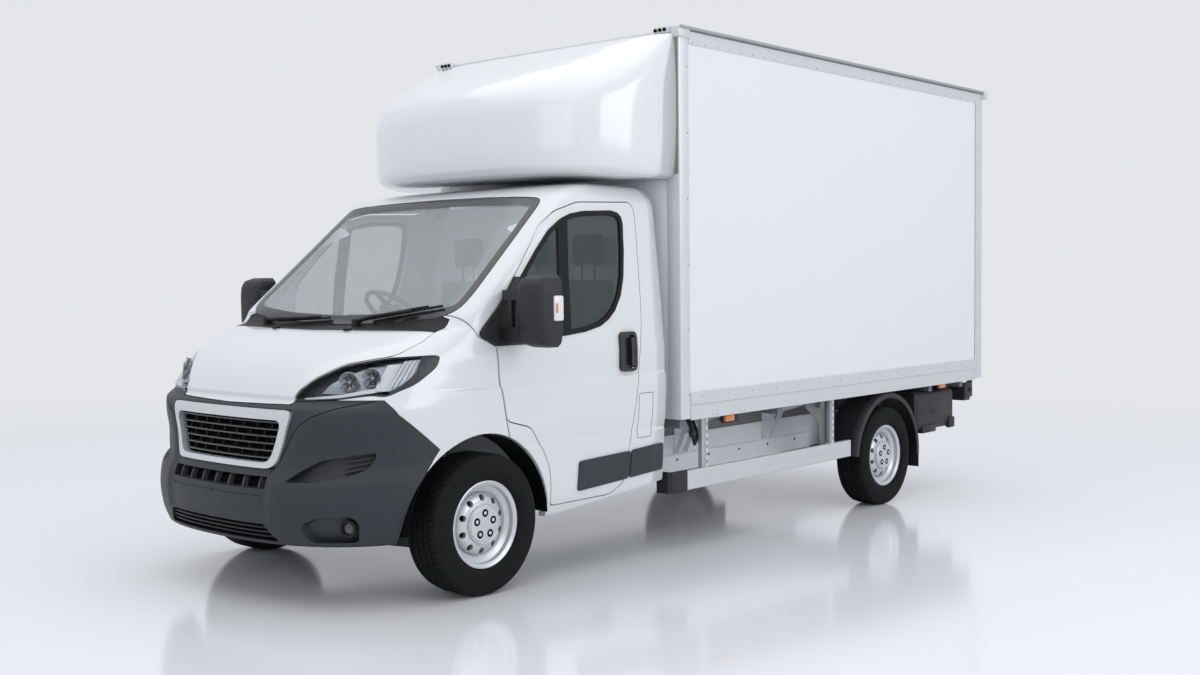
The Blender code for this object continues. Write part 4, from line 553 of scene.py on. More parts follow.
def steady_curve(places, values, wanted):
    """Smooth curve through a column of the table that never overshoots it."""
    step = np.diff(places)
    slope = np.diff(values) / step
    tangent = np.concatenate(([slope[0]], np.zeros(len(slope) - 1), [slope[-1]]))
    for k in range(1, len(slope)):
        if slope[k - 1] * slope[k] > 0:
            one, two = 2 * step[k] + step[k - 1], step[k] + 2 * step[k - 1]
            tangent[k] = (one + two) / (one / slope[k - 1] + two / slope[k])
    spot = np.clip(np.searchsorted(places, wanted) - 1, 0, len(slope) - 1)
    t = (wanted - places[spot]) / step[spot]
    return ((1 + 2 * t) * (1 - t) ** 2 * values[spot] + t * (1 - t) ** 2 * step[spot] * tangent[spot]
            + t * t * (3 - 2 * t) * values[spot + 1] - t * t * (1 - t) * step[spot] * tangent[spot + 1])


def levels_at(heights):
    """Height, nose, start of the flat side, half width and sharpness at any heights."""
    up = np.asarray(heights) / CAB_TOP
    table = [steady_curve(CAB_LEVELS[:, 0], CAB_LEVELS[:, k], up) for k in (1, 2, 3, 4)]
    return np.stack([np.asarray(heights), table[0] * CAB_LENGTH - OVERHANG, table[1] * CAB_LENGTH - OVERHANG,
            table[2] * CAB_HALF, table[3]], axis=1)


def hull_heights():
    out = []
    for low, high in zip(CAB_LEVELS, CAB_LEVELS[1:]):
        run = math.hypot((high[0] - low[0]) * CAB_TOP, (high[1] - low[1]) * CAB_LENGTH)
        count = max(1, math.ceil(run / 0.022))
        out += [CAB_TOP * (low[0] + (high[0] - low[0]) * k / count) for k in range(count)]
    out.append(CAB_TOP)
    for crease in (BELT, WAIST):
        out = [height for height in out if abs(height - crease) > 0.008]
        out += [crease - 0.006, crease, crease + 0.006]
    return sorted(out)


BELT = 1.046
WAIST = 0.715
HEIGHTS = np.array(hull_heights())
FASCIA = [(0.88, 1.035), (0.86, 1.018), (0.62, 0.955), (0.54, 0.86), (0.475, 0.74), (0.44, 0.66), (0.43, 0.44)]


def edge_distance(x, z, line):
    """Distance of points from a line of points, and which side of it they are on."""
    best = np.full(x.shape, 9.0)
    for (ax, az), (bx, bz) in zip(line, line[1:]):
        run = (bx - ax) ** 2 + (bz - az) ** 2
        t = np.clip(((x - ax) * (bx - ax) + (z - az) * (bz - az)) / run, 0, 1)
        best = np.minimum(best, np.hypot(x - ax - t * (bx - ax), z - az - t * (bz - az)))
    inner = np.interp(z, [point[1] for point in reversed(line)], [point[0] for point in reversed(line)])
    return np.where(x < inner, best, -best)


def sculpted(x, y, z):
    """Creases of the doors, wings and bumper, pressed into the plain hull."""
    low = z < 1.3
    flank = np.clip((y + 0.42) / 0.25, 0, 1) * low
    belt = np.clip((z - BELT) / 0.006, 0, 1) * np.clip(1 - (z - BELT) / 0.15, 0, 1)
    waist = np.clip((z - WAIST) / 0.006, 0, 1) * np.clip(1 - (z - WAIST) / 0.12, 0, 1)
    x = x - np.sign(x) * flank * (0.008 * belt + 0.006 * waist)
    front = np.clip((-0.35 - y) / 0.2, 0, 1) * (z < 1.03) * (z > 0.43)
    inside = edge_distance(np.abs(x), z, FASCIA)
    y = y + front * 0.012 * np.clip(0.5 + inside / 0.03, 0, 1)
    return x, y


def corner(half, flat, nose, sharp, points):
    """A superellipse from the nose's middle round to the flat side, in even steps."""
    turns = np.linspace(0, math.pi / 2, 241)
    x = half * np.sin(turns) ** (2 / sharp)
    y = flat - (flat - nose) * np.cos(turns) ** (2 / sharp)
    run = np.concatenate(([0], np.cumsum(np.hypot(np.diff(x), np.diff(y)))))
    wanted = np.linspace(0, run[-1], points + 1)
    return np.interp(wanted, run, x), np.interp(wanted, run, y)


def ring(level, rear, half_only):
    height, nose, flat, half, sharp = level
    x, y = corner(half, flat, nose, sharp, CORNER_POINTS)
    x = np.concatenate((x, np.full(SIDE_POINTS, half)))
    y = np.concatenate((y, np.linspace(flat, rear, SIDE_POINTS + 1)[1:]))
    x, y = sculpted(x, y, np.full(x.shape, height))
    right = list(zip(x, y, [height] * len(x)))
    if half_only:
        return right + [(0, rear, height)]
    return right + [(-a, b, c) for a, b, c in reversed(right[1:])]


def hull(depth=0.0, low=0.0, high=9.0, rear=CAB_REAR, half_only=False):
    """The cab's outer shape between two heights, moved inwards by a depth."""
    ceiling = min(high, CAB_TOP - depth)
    low = max(low, HEIGHTS[0])
    heights = np.array([low] + [h for h in HEIGHTS if low + 0.002 < h < ceiling - 0.002] + [ceiling])
    levels = levels_at(np.minimum(heights, CAB_TOP))
    levels[:, 0] = heights
    if depth:
        nudge = 0.004
        above, below = np.minimum(heights + nudge, CAB_TOP), np.maximum(heights - nudge, HEIGHTS[0])
        one, two = levels_at(above), levels_at(below)
        rise = (above - below)
        levels[:, 1] += depth * np.hypot(1, (one[:, 1] - two[:, 1]) / rise)
        levels[:, 3] -= depth * np.hypot(1, (one[:, 3] - two[:, 3]) / rise)
        levels[:, 2] = np.maximum(levels[:, 2], levels[:, 1] + abs(depth))
    return loft([ring(level, rear, half_only) for level in levels])


SKIN = {}


def skin_tree():
    if not SKIN:
        bm = hull()
        bmesh.ops.transform(bm, matrix=VAN, verts=bm.verts)
        bmesh.ops.triangulate(bm, faces=bm.faces)
        bm.normal_update()
        SKIN["tree"] = BVHTree.FromBMesh(bm)
        bm.faces.ensure_lookup_table()
        SKIN["shape"] = bm
    return SKIN["tree"], SKIN["shape"]


def follow_skin(mesh, reach):
    """Give a panel's outer face the hull's own smooth normals, so cut edges don't mark it."""
    tree, shape = skin_tree()
    found = {}
    normals = []
    for face in mesh.polygons:
        for corner in face.vertices:
            if corner not in found:
                spot, way, index, gap = tree.find_nearest(mesh.vertices[corner].co)
                verts = shape.faces[index].verts
                shares = barycentric_transform(spot, *(v.co for v in verts), Vector((1, 0, 0)), Vector((0, 1, 0)),
                    Vector((0, 0, 1)))
                smooth = sum((v.normal * share for v, share in zip(verts, shares)), Vector())
                found[corner] = (gap, smooth.normalized())
            gap, smooth = found[corner]
            near = gap < reach and face.normal.dot(smooth) > 0.6
            normals.append(smooth if near else face.normal.copy())
    mesh.normals_split_custom_set(normals)


def grown(outline, amount):
    """Move a closed outline outwards by an amount, or inwards where it is negative."""
    area = sum(a[0] * b[1] - b[0] * a[1] for a, b in zip(outline, outline[1:] + outline[:1]))
    way = amount if area > 0 else -amount
    out = []
    for before, here, after in zip(outline[-1:] + outline[:-1], outline, outline[1:] + outline[:1]):
        one, two = ((Vector(here) - Vector(before)).normalized(), (Vector(after) - Vector(here)).normalized())
        normal = Vector((one.y + two.y, -one.x - two.x)).normalized()
        reach = max(normal.dot(Vector((one.y, -one.x))), 0.5)
        out.append(tuple(Vector(here) + normal * way / reach))
    return out


def rounded(outline, reach, steps=5):
    """Round a closed outline's corners."""
    out = []
    for before, here, after in zip(outline[-1:] + outline[:-1], outline, outline[1:] + outline[:1]):
        before, here, after = Vector(before), Vector(here), Vector(after)
        one = here + (before - here).normalized() * min(reach, (before - here).length * 0.48)
        two = here + (after - here).normalized() * min(reach, (after - here).length * 0.48)
        for k in range(steps + 1):
            t = k / steps
            out.append(tuple(one * (1 - t) ** 2 + here * 2 * t * (1 - t) + two * t * t))
    return out


def panel(outline, view, outer, inner, cuts=(), low=None, high=None, keep=(), left=True, rear=None):
    """A piece of the cab's skin between two depths, inside an outline seen from the side or front."""
    heights = [z for _, z in outline] if outline else [low, high]
    bottom, top = (min(heights) - 0.01 if low is None else low), (max(heights) + 0.01 if high is None else high)
    piece = as_object("panel", hull(outer, bottom, top, half_only=left))
    if view == "side":
        boolean(piece, prism(outline, "X", CAB_HALF / 2 if left else -CAB_HALF - CUT, CAB_HALF + CUT),
            "INTERSECT")
    elif view == "front":
        boolean(piece, prism(outline, "Y", -OVERHANG - CUT, 0 if rear is None else rear), "INTERSECT")
    for shape in keep:
        boolean(piece, shape, "INTERSECT")
    for shape in cuts:
        boolean(piece, shape, "DIFFERENCE")
    boolean(piece, hull(inner, bottom - 0.1, top + 0.1 if top < CAB_TOP - inner else 9.0, CAB_REAR + CUT),
        "DIFFERENCE")
    return taken(piece)


def through_sides(outline):
    return prism(outline, "X", -CAB_HALF - CUT, CAB_HALF + CUT)


def from_front(outline, rear):
    return prism(outline, "Y", -OVERHANG - CUT, rear)


def bonnet_zone(shift=0.0):
    half = [(x, y + shift) for x, y in BONNET_REAR] + [(BONNET_REAR[-1][0], -OVERHANG - CUT)]
    return prism(half + [(-x, y) for x, y in reversed(half) if x > 0], "Z", 0.5, CAB_TOP)


def roof_zone(amount):
    half = [(CAB_HALF * 0.784, CAB_TOP * 0.944), (CAB_HALF * 0.784, CAB_TOP * 0.967),
        (CAB_HALF * 0.845, CAB_TOP * 0.967), (CAB_HALF * 0.845, CAB_TOP + CUT)]
    return prism(grown(mirror_outline(half), amount), "Y", -OVERHANG, CAB_REAR + CUT)


def arch(radius, depth=0.0):
    outline = [(ARCH_CENTRE[0] + radius * math.cos(turn),
            ARCH_CENTRE[1] + radius * math.sin(turn)) for turn in (math.tau * k / 72 for k in range(72))]
    return prism(outline, "X", depth, CAB_HALF + CUT)


def ahead_of_doors(amount):
    line = [(y + amount, z) for y, z in WING_REAR]
    front = -OVERHANG - CUT
    return [(front, 0), (line[0][0] + ARCH_RADIUS / 2, 0)] + line + [(front, line[-1][1])]


def door_edge(amount):
    return rounded(grown(DOOR, amount), 0.03, 4)


def build_cab_skin():
    wall, gap = 0.03, 0.004
    screen = rounded(SCREEN, 0.05)
    present("cab_roof_skin", panel(None, "", 0, wall, low=1.95, high=9.0, left=False, keep=[roof_zone(0)],
            cuts=[from_front(grown(screen, gap), SCREEN_REAR)]), "white_paint", replaces="cab_roof", skin=0.001)
    bonnet_edge = rounded(BONNET_FRONT, 0.02)
    present("bonnet_skin", panel(grown(bonnet_edge, -gap), "front", 0, wall, keep=[bonnet_zone()], left=False),
        "white_paint", "bonnet", replaces="bonnet", skin=0.001)
    present("scuttle_panel", panel(BONNET_FRONT, "front", 0.004, wall, left=False, rear=SCUTTLE_REAR,
            cuts=[bonnet_zone(gap), from_front(grown(screen, 0.001), SCREEN_REAR)]), "black_plastic",
        replaces="scuttle", skin=0.01)
    behind_bonnet = grown(BONNET_FRONT, 0.001)
    lamp = rounded(HEADLAMP, 0.02)
    present_pair("wing_skin", panel(ahead_of_doors(-0.008), "side", 0, wall, low=0.33, high=1.46,
            cuts=[from_front(behind_bonnet, SCUTTLE_REAR + 0.001), from_front(grown(screen, gap), SCREEN_REAR),
                from_front(grown(lamp, 0.002), LAMP_REAR), through_sides(grown(BUMPER, 0.002)),
                arch(ARCH_RADIUS)]), "white_paint", replaces="wing_{}", skin=0.001)
    present_pair("cab_side_skin", panel(None, "", 0, 0.045, low=0.33, high=9.0,
            cuts=[roof_zone(0.001), through_sides(ahead_of_doors(0.001)),
                from_front(behind_bonnet, SCUTTLE_REAR + 0.001), from_front(grown(screen, gap), SCREEN_REAR),
                through_sides(door_edge(0.003)), arch(ARCH_RADIUS), through_sides(SILL)]), "white_paint",
        replaces="cab_side_{}", skin=0.001)
    present_pair("door_skin", panel(door_edge(-0.003), "side", 0, 0.045, cuts=[through_sides(WINDOW)]),
        "white_paint", "door_{}", replaces="door_{}", skin=0.001)
    bar = [(0.585, 1.25), (0.655, 1.25), (0.668, 1.6), (0.706, 2.0), (0.63, 2.0), (0.592, 1.6)]
    inner = grown(WINDOW, -bpy.context.scene.van_looks.seal_width)
    seal = cut(panel(grown(WINDOW, 0.003), "side", -0.003, 0.016), prism(inner, "X", 0.5, CAB_HALF + CUT))
    present_pair("window_seal", seal, "rubber_seal", "door_{}", skin=0.004)
    divider = panel(bar, "side", -0.001, 0.018, keep=[through_sides(grown(inner, 0.004))])
    present_pair("window_divider", divider, "rubber_seal", "door_{}", skin=0.004)
    present_pair("door_window", panel(grown(WINDOW, -0.01), "side", 0.006, 0.01), "door_pane", "door_{}",
        replaces="door_glass_{}", skin=0.02)
    # The windscreen's pale finish is a painted reflection of the room.
    present("screen_pane", panel(grown(screen, -0.002), "front", 0.002, 0.008, left=False, rear=SCREEN_REAR),
        "screen_pane", replaces="windscreen", skin=0.02)
    edge = panel(grown(screen, -0.0015), "front", 0.0015, 0.0095, left=False, rear=SCREEN_REAR)
    hole = rounded(grown(SCREEN, -0.045), 0.09)
    present("screen_border", cut(edge, from_front(hole, SCREEN_REAR + 0.1)), "black_gloss", skin=0.02)


def build_headlamps():
    lamp = rounded(HEADLAMP, 0.02)
    present_pair("headlamp_cover", panel(lamp, "front", 0.0, 0.003, rear=LAMP_REAR), "lamp_clear",
        replaces="headlamp_{}", skin=0.002)
    present_pair("headlamp_housing", panel(grown(lamp, -0.003), "front", 0.045, 0.05, rear=LAMP_REAR),
        "lamp_dark")
    rim = cut(panel(grown(lamp, -0.001), "front", 0.0035, 0.048, rear=LAMP_REAR),
        from_front(grown(lamp, -0.006), LAMP_REAR + 0.1))
    present_pair("headlamp_rim", rim, "lamp_dark")
    strip = [(0.53, 1.031), (0.727, 1.052), (0.845, 1.08), (0.862, 1.07), (0.852, 1.06), (0.729, 1.038),
        (0.54, 1.019)]
    pillar = [(0.84, 1.186), (0.868, 1.19), (0.88, 1.066), (0.848, 1.068)]
    lines = [panel(outline, "front", 0.006, 0.034, rear=LAMP_REAR) for outline in (strip, pillar)]
    present_pair("headlamp_strip", merged(*lines), "lamp_white", skin=0.02)
    bright = [(0.6, 1.052), (0.626, 1.098), (0.684, 1.14), (0.757, 1.172), (0.85, 1.2), (0.934, 1.212),
        (0.938, 1.14), (0.923, 1.085), (0.905, 1.062), (0.86, 1.072), (0.791, 1.064), (0.7, 1.05)]
    present_pair("headlamp_reflector", panel(bright, "front", 0.03, 0.04, rear=LAMP_REAR), "lamp_bowl", skin=0.02)
    end = [(0.925, 1.232), (0.98, 1.232), (0.985, 1.14), (0.95, 1.08), (0.905, 1.04), (0.897, 1.06), (0.925, 1.1),
        (0.937, 1.15)]
    present_pair("headlamp_end", panel(end, "front", 0.005, 0.012, rear=LAMP_REAR,
            keep=[from_front(grown(lamp, -0.003), LAMP_REAR)]), "lamp_dark", skin=0.02)
    bowl = [(0.0, 0.001), (0.004, 0.016), (0.016, 0.034), (0.034, 0.046), (0.038, 0.049), (0.034, 0.051),
        (0.012, 0.038), (-0.002, 0.018), (-0.004, 0.001)]
    shapes, fins = [], []
    aim = aimed(0.62, -1, 0.12)
    for x, y, z, scale in ((0.712, -0.6, 1.106, 0.98), (0.8, -0.53, 1.126, 0.95)):
        shapes.append(moved(turned(bowl, 40), (x, y, z), aim @ Matrix.Scale(scale, 4)))
        shapes.append(moved(turned([(0.0, 0.0001), (0.024, 0.0001), (0.022, 0.007), (0.0, 0.009)], 16), (x, y, z),
                aim))
        blade = round_repeat(block((0.006, -0.0018, 0.014), (0.024, 0.0018, 0.042), 0.0006, 1), 7, "lamp_dark")
        fins.append(moved(blade, (x, y, z), aim))
    present_pair("headlamp_bowls", merged(*shapes), "lamp_bowl")
    present_pair("headlamp_fins", merged(*fins), "lamp_dark")
    cells = [[(0.884 + 0.012 * k, 1.05), (0.8865 + 0.012 * k, 1.05), (0.8805 + 0.012 * k, 1.21),
            (0.878 + 0.012 * k, 1.21)] for k in range(5)]
    levels = [[(0.87, z), (0.945, z + 0.006), (0.945, z + 0.008), (0.87, z + 0.002)] for z in (1.085, 1.105,
            1.125, 1.145, 1.165, 1.185)]
    for name, outlines in (("headlamp_cells", cells), ("headlamp_levels", levels)):
        grid = merged(*[from_front(outline, LAMP_REAR) for outline in outlines])
        present_pair(name, panel(bright, "front", 0.014, 0.024, rear=LAMP_REAR, keep=[grid]), "lamp_white",
            skin=0.02)


def build_bumper():
    wall = 0.05
    grille = rounded(GRILLE, 0.03)
    slot = rounded(mirror_outline([(0.0, 0.594), (0.402, 0.594), (0.402, 0.653), (0.0, 0.653)]), 0.008)
    lower = rounded(mirror_outline([(0.0, 0.344), (0.474, 0.344), (0.405, 0.427), (0.0, 0.427)]), 0.012)
    lamp = rounded(HEADLAMP, 0.02)
    shape = panel(BUMPER, "side", 0, wall, left=False, cuts=[from_front(grown(BONNET_FRONT, 0.001), 0),
            from_front(grown(lamp, 0.003), LAMP_REAR), from_front([(-x, z) for x, z in grown(lamp, 0.003)],
                LAMP_REAR), merged(arch(ARCH_RADIUS), copied(arch(ARCH_RADIUS), -1)),
            from_front(grown(grille, 0.002), 0), from_front(slot, 0), from_front(lower, 0)])
    vent = [(0.52, 0.634), (0.585, 0.69), (0.678, 0.741), (0.885, 0.78), (0.873, 0.732), (0.851, 0.697),
        (0.813, 0.672), (0.668, 0.641)]
    fog = [(0.617, 0.439), (0.687, 0.472), (0.827, 0.483), (0.85, 0.437), (0.825, 0.351), (0.648, 0.348),
        (0.616, 0.394)]
    fold = [(0.865, 1.023), (0.74, 0.992), (0.634, 0.951), (0.565, 0.912), (0.517, 0.86), (0.469, 0.777),
        (0.418, 0.697), (0.4, 0.67), (0.404, 0.666), (0.422, 0.693), (0.473, 0.774), (0.521, 0.857),
        (0.569, 0.908), (0.636, 0.946), (0.741, 0.987), (0.866, 1.018)]
    under = [(0.0, 0.566), (0.394, 0.566), (0.394, 0.56), (0.0, 0.56)]
    for outline, depth in ((rounded(vent, 0.02), 0.04), (rounded(fog, 0.025), 0.034), (fold, 0.006),
        (under, 0.004)):
        low, high = min(z for _, z in outline) - 0.01, max(z for _, z in outline) + 0.01
        for side in (1, -1):
            tool = as_object("recess", from_front([(side * x, z) for x, z in outline], 0))
            boolean(tool, hull(depth, low - 0.1, high + 0.1), "DIFFERENCE")
            shape = cut(shape, taken(tool))
    present("bumper_skin", shape, "slate_plastic", replaces="front_bumper", skin=0.001)
    # Near-black sheets behind the bumper's openings: painted shade in place of the dark space behind them.
    dark = panel([(-0.41, 0.585), (0.41, 0.585), (0.41, 0.662), (-0.41, 0.662)], "front", 0.046, 0.049,
        left=False)
    dark_low = panel([(-0.48, 0.335), (0.48, 0.335), (0.48, 0.435), (-0.48, 0.435)], "front", 0.046, 0.049,
        left=False)
    present("bumper_backing", merged(dark, dark_low), "deep_black")
    posts = merged(*[from_front([(x, 0.58), (x + 0.006, 0.58), (x + 0.006, 0.67), (x, 0.67)],
                0) for x in (-0.347 + 0.115 * k for k in range(7))])
    present("slot_dividers", panel(slot, "front", 0.014, 0.044, left=False, keep=[posts]), "grille_grey",
        skin=0.02)
    bars = [panel([(-0.478, z), (0.478, z), (0.478, z + 0.01), (-0.478, z + 0.01)], "front", 0.012, 0.04,
            left=False, keep=[from_front(grown(lower, 0.003), 0)]) for z in (0.36, 0.382, 0.404)]
    present("lower_grille_bars", merged(*bars), "black_plastic", skin=0.02)
    vents = [panel([(0.758, z), (0.856, z + 0.024), (0.856, z + 0.031), (0.758, z + 0.008)], "front", 0.02,
            0.041) for z in (0.679, 0.702, 0.726)]
    present_pair("vent_slats", merged(*vents), "slate_plastic", skin=0.03)
    aim = aimed(0.45, -1, 0)
    ringed = turned([(-0.01, 0.03), (0.012, 0.03), (0.014, 0.033), (0.012, 0.042), (-0.01, 0.044)], 32)
    glass = turned([(0.0, 0.0001), (0.006, 0.0001), (0.003, 0.02), (0.0, 0.03), (-0.006, 0.03), (-0.006, 0.0001)],
        32)
    present_pair("fog_ring", moved(ringed, (0.797, -0.694, 0.42), aim), "black_plastic")
    present_pair("fog_glass", moved(glass, (0.797, -0.694, 0.42), aim), "fog_lens")


def build_grille():
    outer = rounded(GRILLE, 0.06, 8)
    inner_shape = [(-0.462, 0.925), (0.462, 0.925), (0.385, 0.716), (-0.385, 0.716)]
    inner = rounded(inner_shape, 0.05, 8)
    surround = panel(grown(outer, -0.001), "front", -0.01, 0.03, left=False, cuts=[from_front(inner, 0)])
    made = present("grille_surround", surround, "bright_trim", replaces="grille")
    bevel = made.modifiers.new("soft_edges", "BEVEL")
    bevel.width, bevel.segments, bevel.limit_method, bevel.angle_limit = 0.004, 2, "ANGLE", math.radians(50)
    bars, posts = [], []
    for k in range(6):
        z = 0.716 + 0.209 * (k + 0.5) / 6
        bars.append(from_front([(-0.6, z), (0.6, z), (0.6, z + 0.0055), (-0.6, z + 0.0055)], 0))
    for k in range(7):
        low = 0.716 + 0.209 * (k - 0.5) / 6 + 0.0055
        start = -0.462 + (0.055 if k % 2 else 0.0)
        posts += [from_front([(x, low), (x + 0.0045, low), (x + 0.0045, low + 0.0293), (x, low + 0.0293)],
                0) for x in (start + 0.11 * step for step in range(9))]
    open_face = grown(inner, -0.002)
    present("grille_bars", panel(open_face, "front", 0.012, 0.042, left=False, keep=[merged(*bars)]),
        "grille_grey", skin=0.04)
    present("grille_dividers", panel(open_face, "front", 0.02, 0.042, left=False, keep=[merged(*posts)]),
        "black_plastic", skin=0.04)
    # A near-black sheet behind the grille's opening: painted shade in place of the dark space behind it.
    back = panel(grown(inner_shape, 0.02), "front", 0.046, 0.05, left=False)
    present("grille_backing", back, "deep_black")


# Mirrors, handles and other fittings of the cab
def build_mirrors():
    low, high, inner, outer, front, rear = 1.252, 1.616, 1.112, 1.312, 0.108, 0.262
    rows = []
    for share, wide, deep in ((0.0, 0.62, 0.45), (0.05, 0.86, 0.8), (0.16, 0.98, 0.95), (0.5, 1.0, 1.0),
        (0.84, 0.97, 0.97), (0.95, 0.86, 0.82), (1.0, 0.62, 0.45)):
        z = low + (high - low) * share
        half, reach = (outer - inner) / 2 * wide, (rear - front) * deep
        middle = (outer + inner) / 2 + 0.008 * (1 - wide)
        ring_points = []
        for k in range(40):
            turn = math.tau * k / 40
            bulge = abs(math.sin(turn)) ** 0.42 * (1 if math.sin(turn) > 0 else -1)
            across = abs(math.cos(turn)) ** 0.34 * (1 if math.cos(turn) > 0 else -1)
            depth = rear - 0.012 if bulge > 0 else rear - 0.012 + bulge * (reach - 0.012)
            ring_points.append((middle + half * across, depth if bulge <= 0 else depth + 0.012 * bulge, z))
        rows.append(ring_points)
    head = loft([[Vector(p) for p in row] for row in rows])
    bmesh.ops.subdivide_edges(head,
        edges=[e for e in head.edges if abs(e.verts[0].co.z - e.verts[1].co.z) > 0.03], cuts=2, smooth=0.4)
    head = cut(head,
        prism(rounded([(inner + 0.018, low + 0.02), (outer - 0.012, low + 0.02), (outer - 0.012, high - 0.02),
                (inner + 0.018, high - 0.02)], 0.03), "Y", rear - 0.01, rear + 0.05))
    present_pair("mirror_head", head, "mirror_plastic", "door_{}", replaces="mirror_{}", sharp=45)
    upper = prism(rounded([(inner + 0.024, 1.405), (outer - 0.018, 1.405), (outer - 0.018, 1.588),
                (inner + 0.024, 1.588)], 0.025), "Y", rear - 0.009, rear - 0.005)
    under = prism(rounded([(inner + 0.024, 1.285), (outer - 0.018, 1.285), (outer - 0.018, 1.392),
                (inner + 0.024, 1.392)], 0.02), "Y", rear - 0.009, rear - 0.005)
    present_pair("mirror_glass", merged(upper, under), "mirror_silver", "door_{}")
    arms = []
    for z, thick, start in ((1.515, 0.026, 1.01), (1.315, 0.038, 1.014)):
        outline = rounded([(start, z - thick), (inner + 0.06, z - thick), (inner + 0.06, z + thick),
                (start, z + thick)], 0.012)
        arms.append(prism(outline, "Y", 0.13, 0.205))
    stay = block((1.055, 0.13, 1.33), (1.075, 0.17, 1.5), 0.006)
    present_pair("mirror_arms", merged(*arms, stay), "mirror_plastic", "door_{}")
    band = [(-0.016, 1.258), (0.306, 1.258), (0.288, 1.51), (0.292, 1.606), (0.24, 1.61), (0.1, 1.48),
        (-0.016, 1.35)]
    split = panel([(0.104, 1.2), (0.109, 1.2), (0.121, 1.42), (0.07, 1.52), (0.066, 1.52), (0.116, 1.42)], "side",
        -0.03, -0.006)
    sail = cut(panel(band, "side", -0.014, 0.004, keep=[through_sides(door_edge(-0.003))]), split)
    present_pair("mirror_base", sail, "mirror_plastic", "door_{}", skin=0.03)
    lamp = block((1.276, 0.192, 1.385), (1.322, 0.258, 1.512), 0.01, 3)
    present_pair("mirror_indicator", lamp, "indicator_lens", "door_{}")
    amber = block((1.314, 0.198, 1.425), (1.3235, 0.214, 1.475), 0.003)
    present_pair("indicator_amber", amber, "amber_lens", "door_{}")


def build_door_fittings():
    ring_out = rounded([(1.034, 1.07), (1.176, 1.07), (1.18, 1.294), (1.04, 1.294)], 0.035)
    ring_in = rounded([(1.05, 1.088), (1.16, 1.088), (1.163, 1.276), (1.056, 1.276)], 0.028)
    plate = cut(panel(ring_out, "side", -0.018, 0.003), prism(ring_in, "X", 0.99, CAB_HALF + CUT))
    bottom = panel(grown(ring_in, 0.002), "side", -0.002, 0.003)
    present_pair("handle_plate", merged(plate, bottom), "handle_black", "door_{}")
    grip = rounded([(1.118, 1.1), (1.15, 1.1), (1.153, 1.262), (1.121, 1.262)], 0.014)
    present_pair("handle_grip", panel(grip, "side", -0.024, 0.0), "handle_black", "door_{}")
    lock = moved(turned([(0, 0.0001), (0.004, 0.0001), (0.004, 0.008), (0, 0.009)], 20), (1.0245, 1.136, 1.085))
    present_pair("handle_lock", lock, "lamp_chrome", "door_{}")
    rub = rounded([(0.7, 0.44), (1.12, 0.462), (1.136, 0.618), (0.706, 0.604)], 0.022, 5)
    present_pair("door_rub_strip", panel(rub, "side", -0.01, 0.002), "slate_plastic", "door_{}", skin=0.02)
    rub_rear = rounded([(1.13, 0.463), (1.425, 0.48), (1.425, 0.636), (1.146, 0.62)], 0.018, 5)
    present_pair("side_rub_strip", panel(rub_rear, "side", -0.01, 0.002), "slate_plastic", skin=0.02)
    flap = rounded([(1.196, 0.684), (1.318, 0.684), (1.322, 0.937), (1.2, 0.937)], 0.012)
    seam = cut(panel(grown(flap, 0.0025), "side", -0.0008, 0.002), prism(flap, "X", 0.5, CAB_HALF + CUT))
    present("filler_flap_seam", seam, "deep_black", skin=0.02)


def build_wipers():
    def on_screen(x, z, lift):
        """A point over the screen or scuttle, at a height and a distance from the middle."""
        level = levels_at([z])[0]
        t = min(abs(x) / level[3], 0.999) ** level[4]
        y = level[2] - (level[2] - level[1]) * (1 - t) ** (1 / level[4])
        return Vector((x, y - lift * 0.75, z + lift * 0.66))
    shapes = []
    for pivot, tip, elbow in (((-0.62, 1.372), (-0.05, 1.388), (-0.42, 1.366)),
        ((0.2, 1.372), (0.78, 1.455), (0.36, 1.388))):
        hub = on_screen(*pivot, 0.012)
        joint = on_screen(*elbow, 0.034)
        end = on_screen((tip[0] + elbow[0]) / 2 + 0.04, (tip[1] + elbow[1]) / 2, 0.028)
        shapes.append(tube(curve_through([hub, joint, end], 6), [0.013] * 6 + [0.008] * 7, 8))
        blade = [on_screen(elbow[0] - 0.06 + (tip[0] - elbow[0] + 0.06) * k / 12,
                elbow[1] + (tip[1] - elbow[1]) * k / 12, 0.012) for k in range(13)]
        shapes.append(tube(blade, 0.0075, 6))
        bridge = [point + Vector((0, -0.007, 0.01)) for point in blade[2:-2]]
        shapes.append(tube(bridge, 0.005, 6))
        shapes.append(tube([hub + Vector((0, 0, -0.03)), hub + Vector((0, -0.004, 0.012))], 0.022, 16))
    present("wipers", merged(*shapes), "wiper_black")
    jets = []
    for x in (-0.33, 0.3):
        spot = on_screen(x, 1.338, 0.004)
        jets.append(moved(block((-0.018, -0.016, -0.006), (0.018, 0.016, 0.01), 0.005), spot))
    present("washer_jets", merged(*jets), "black_plastic")
    sensor = panel(rounded([(-0.075, 1.945), (0.075, 1.945), (0.06, 2.035), (-0.06, 2.035)], 0.02), "front", 0.01,
        0.045, left=False, rear=SCREEN_REAR)
    present("screen_sensor", sensor, "black_plastic")


# Fairing
FAIRING_LEVELS = np.array(((0.0, 0.12, 0.93, 2.6), (0.02, 0.05, 0.955, 2.7), (0.06, 0.01, 0.97, 2.8),
        (0.2, 0.0, 0.98, 2.8), (0.4, 0.005, 0.985, 2.8), (0.52, 0.03, 0.985, 2.7), (0.6, 0.09, 0.985, 2.6),
        (0.68, 0.21, 0.984, 2.5), (0.76, 0.39, 0.982, 2.5), (0.84, 0.59, 0.979, 2.6), (0.91, 0.76, 0.974, 2.8),
        (0.955, 0.88, 0.965, 3.0)))


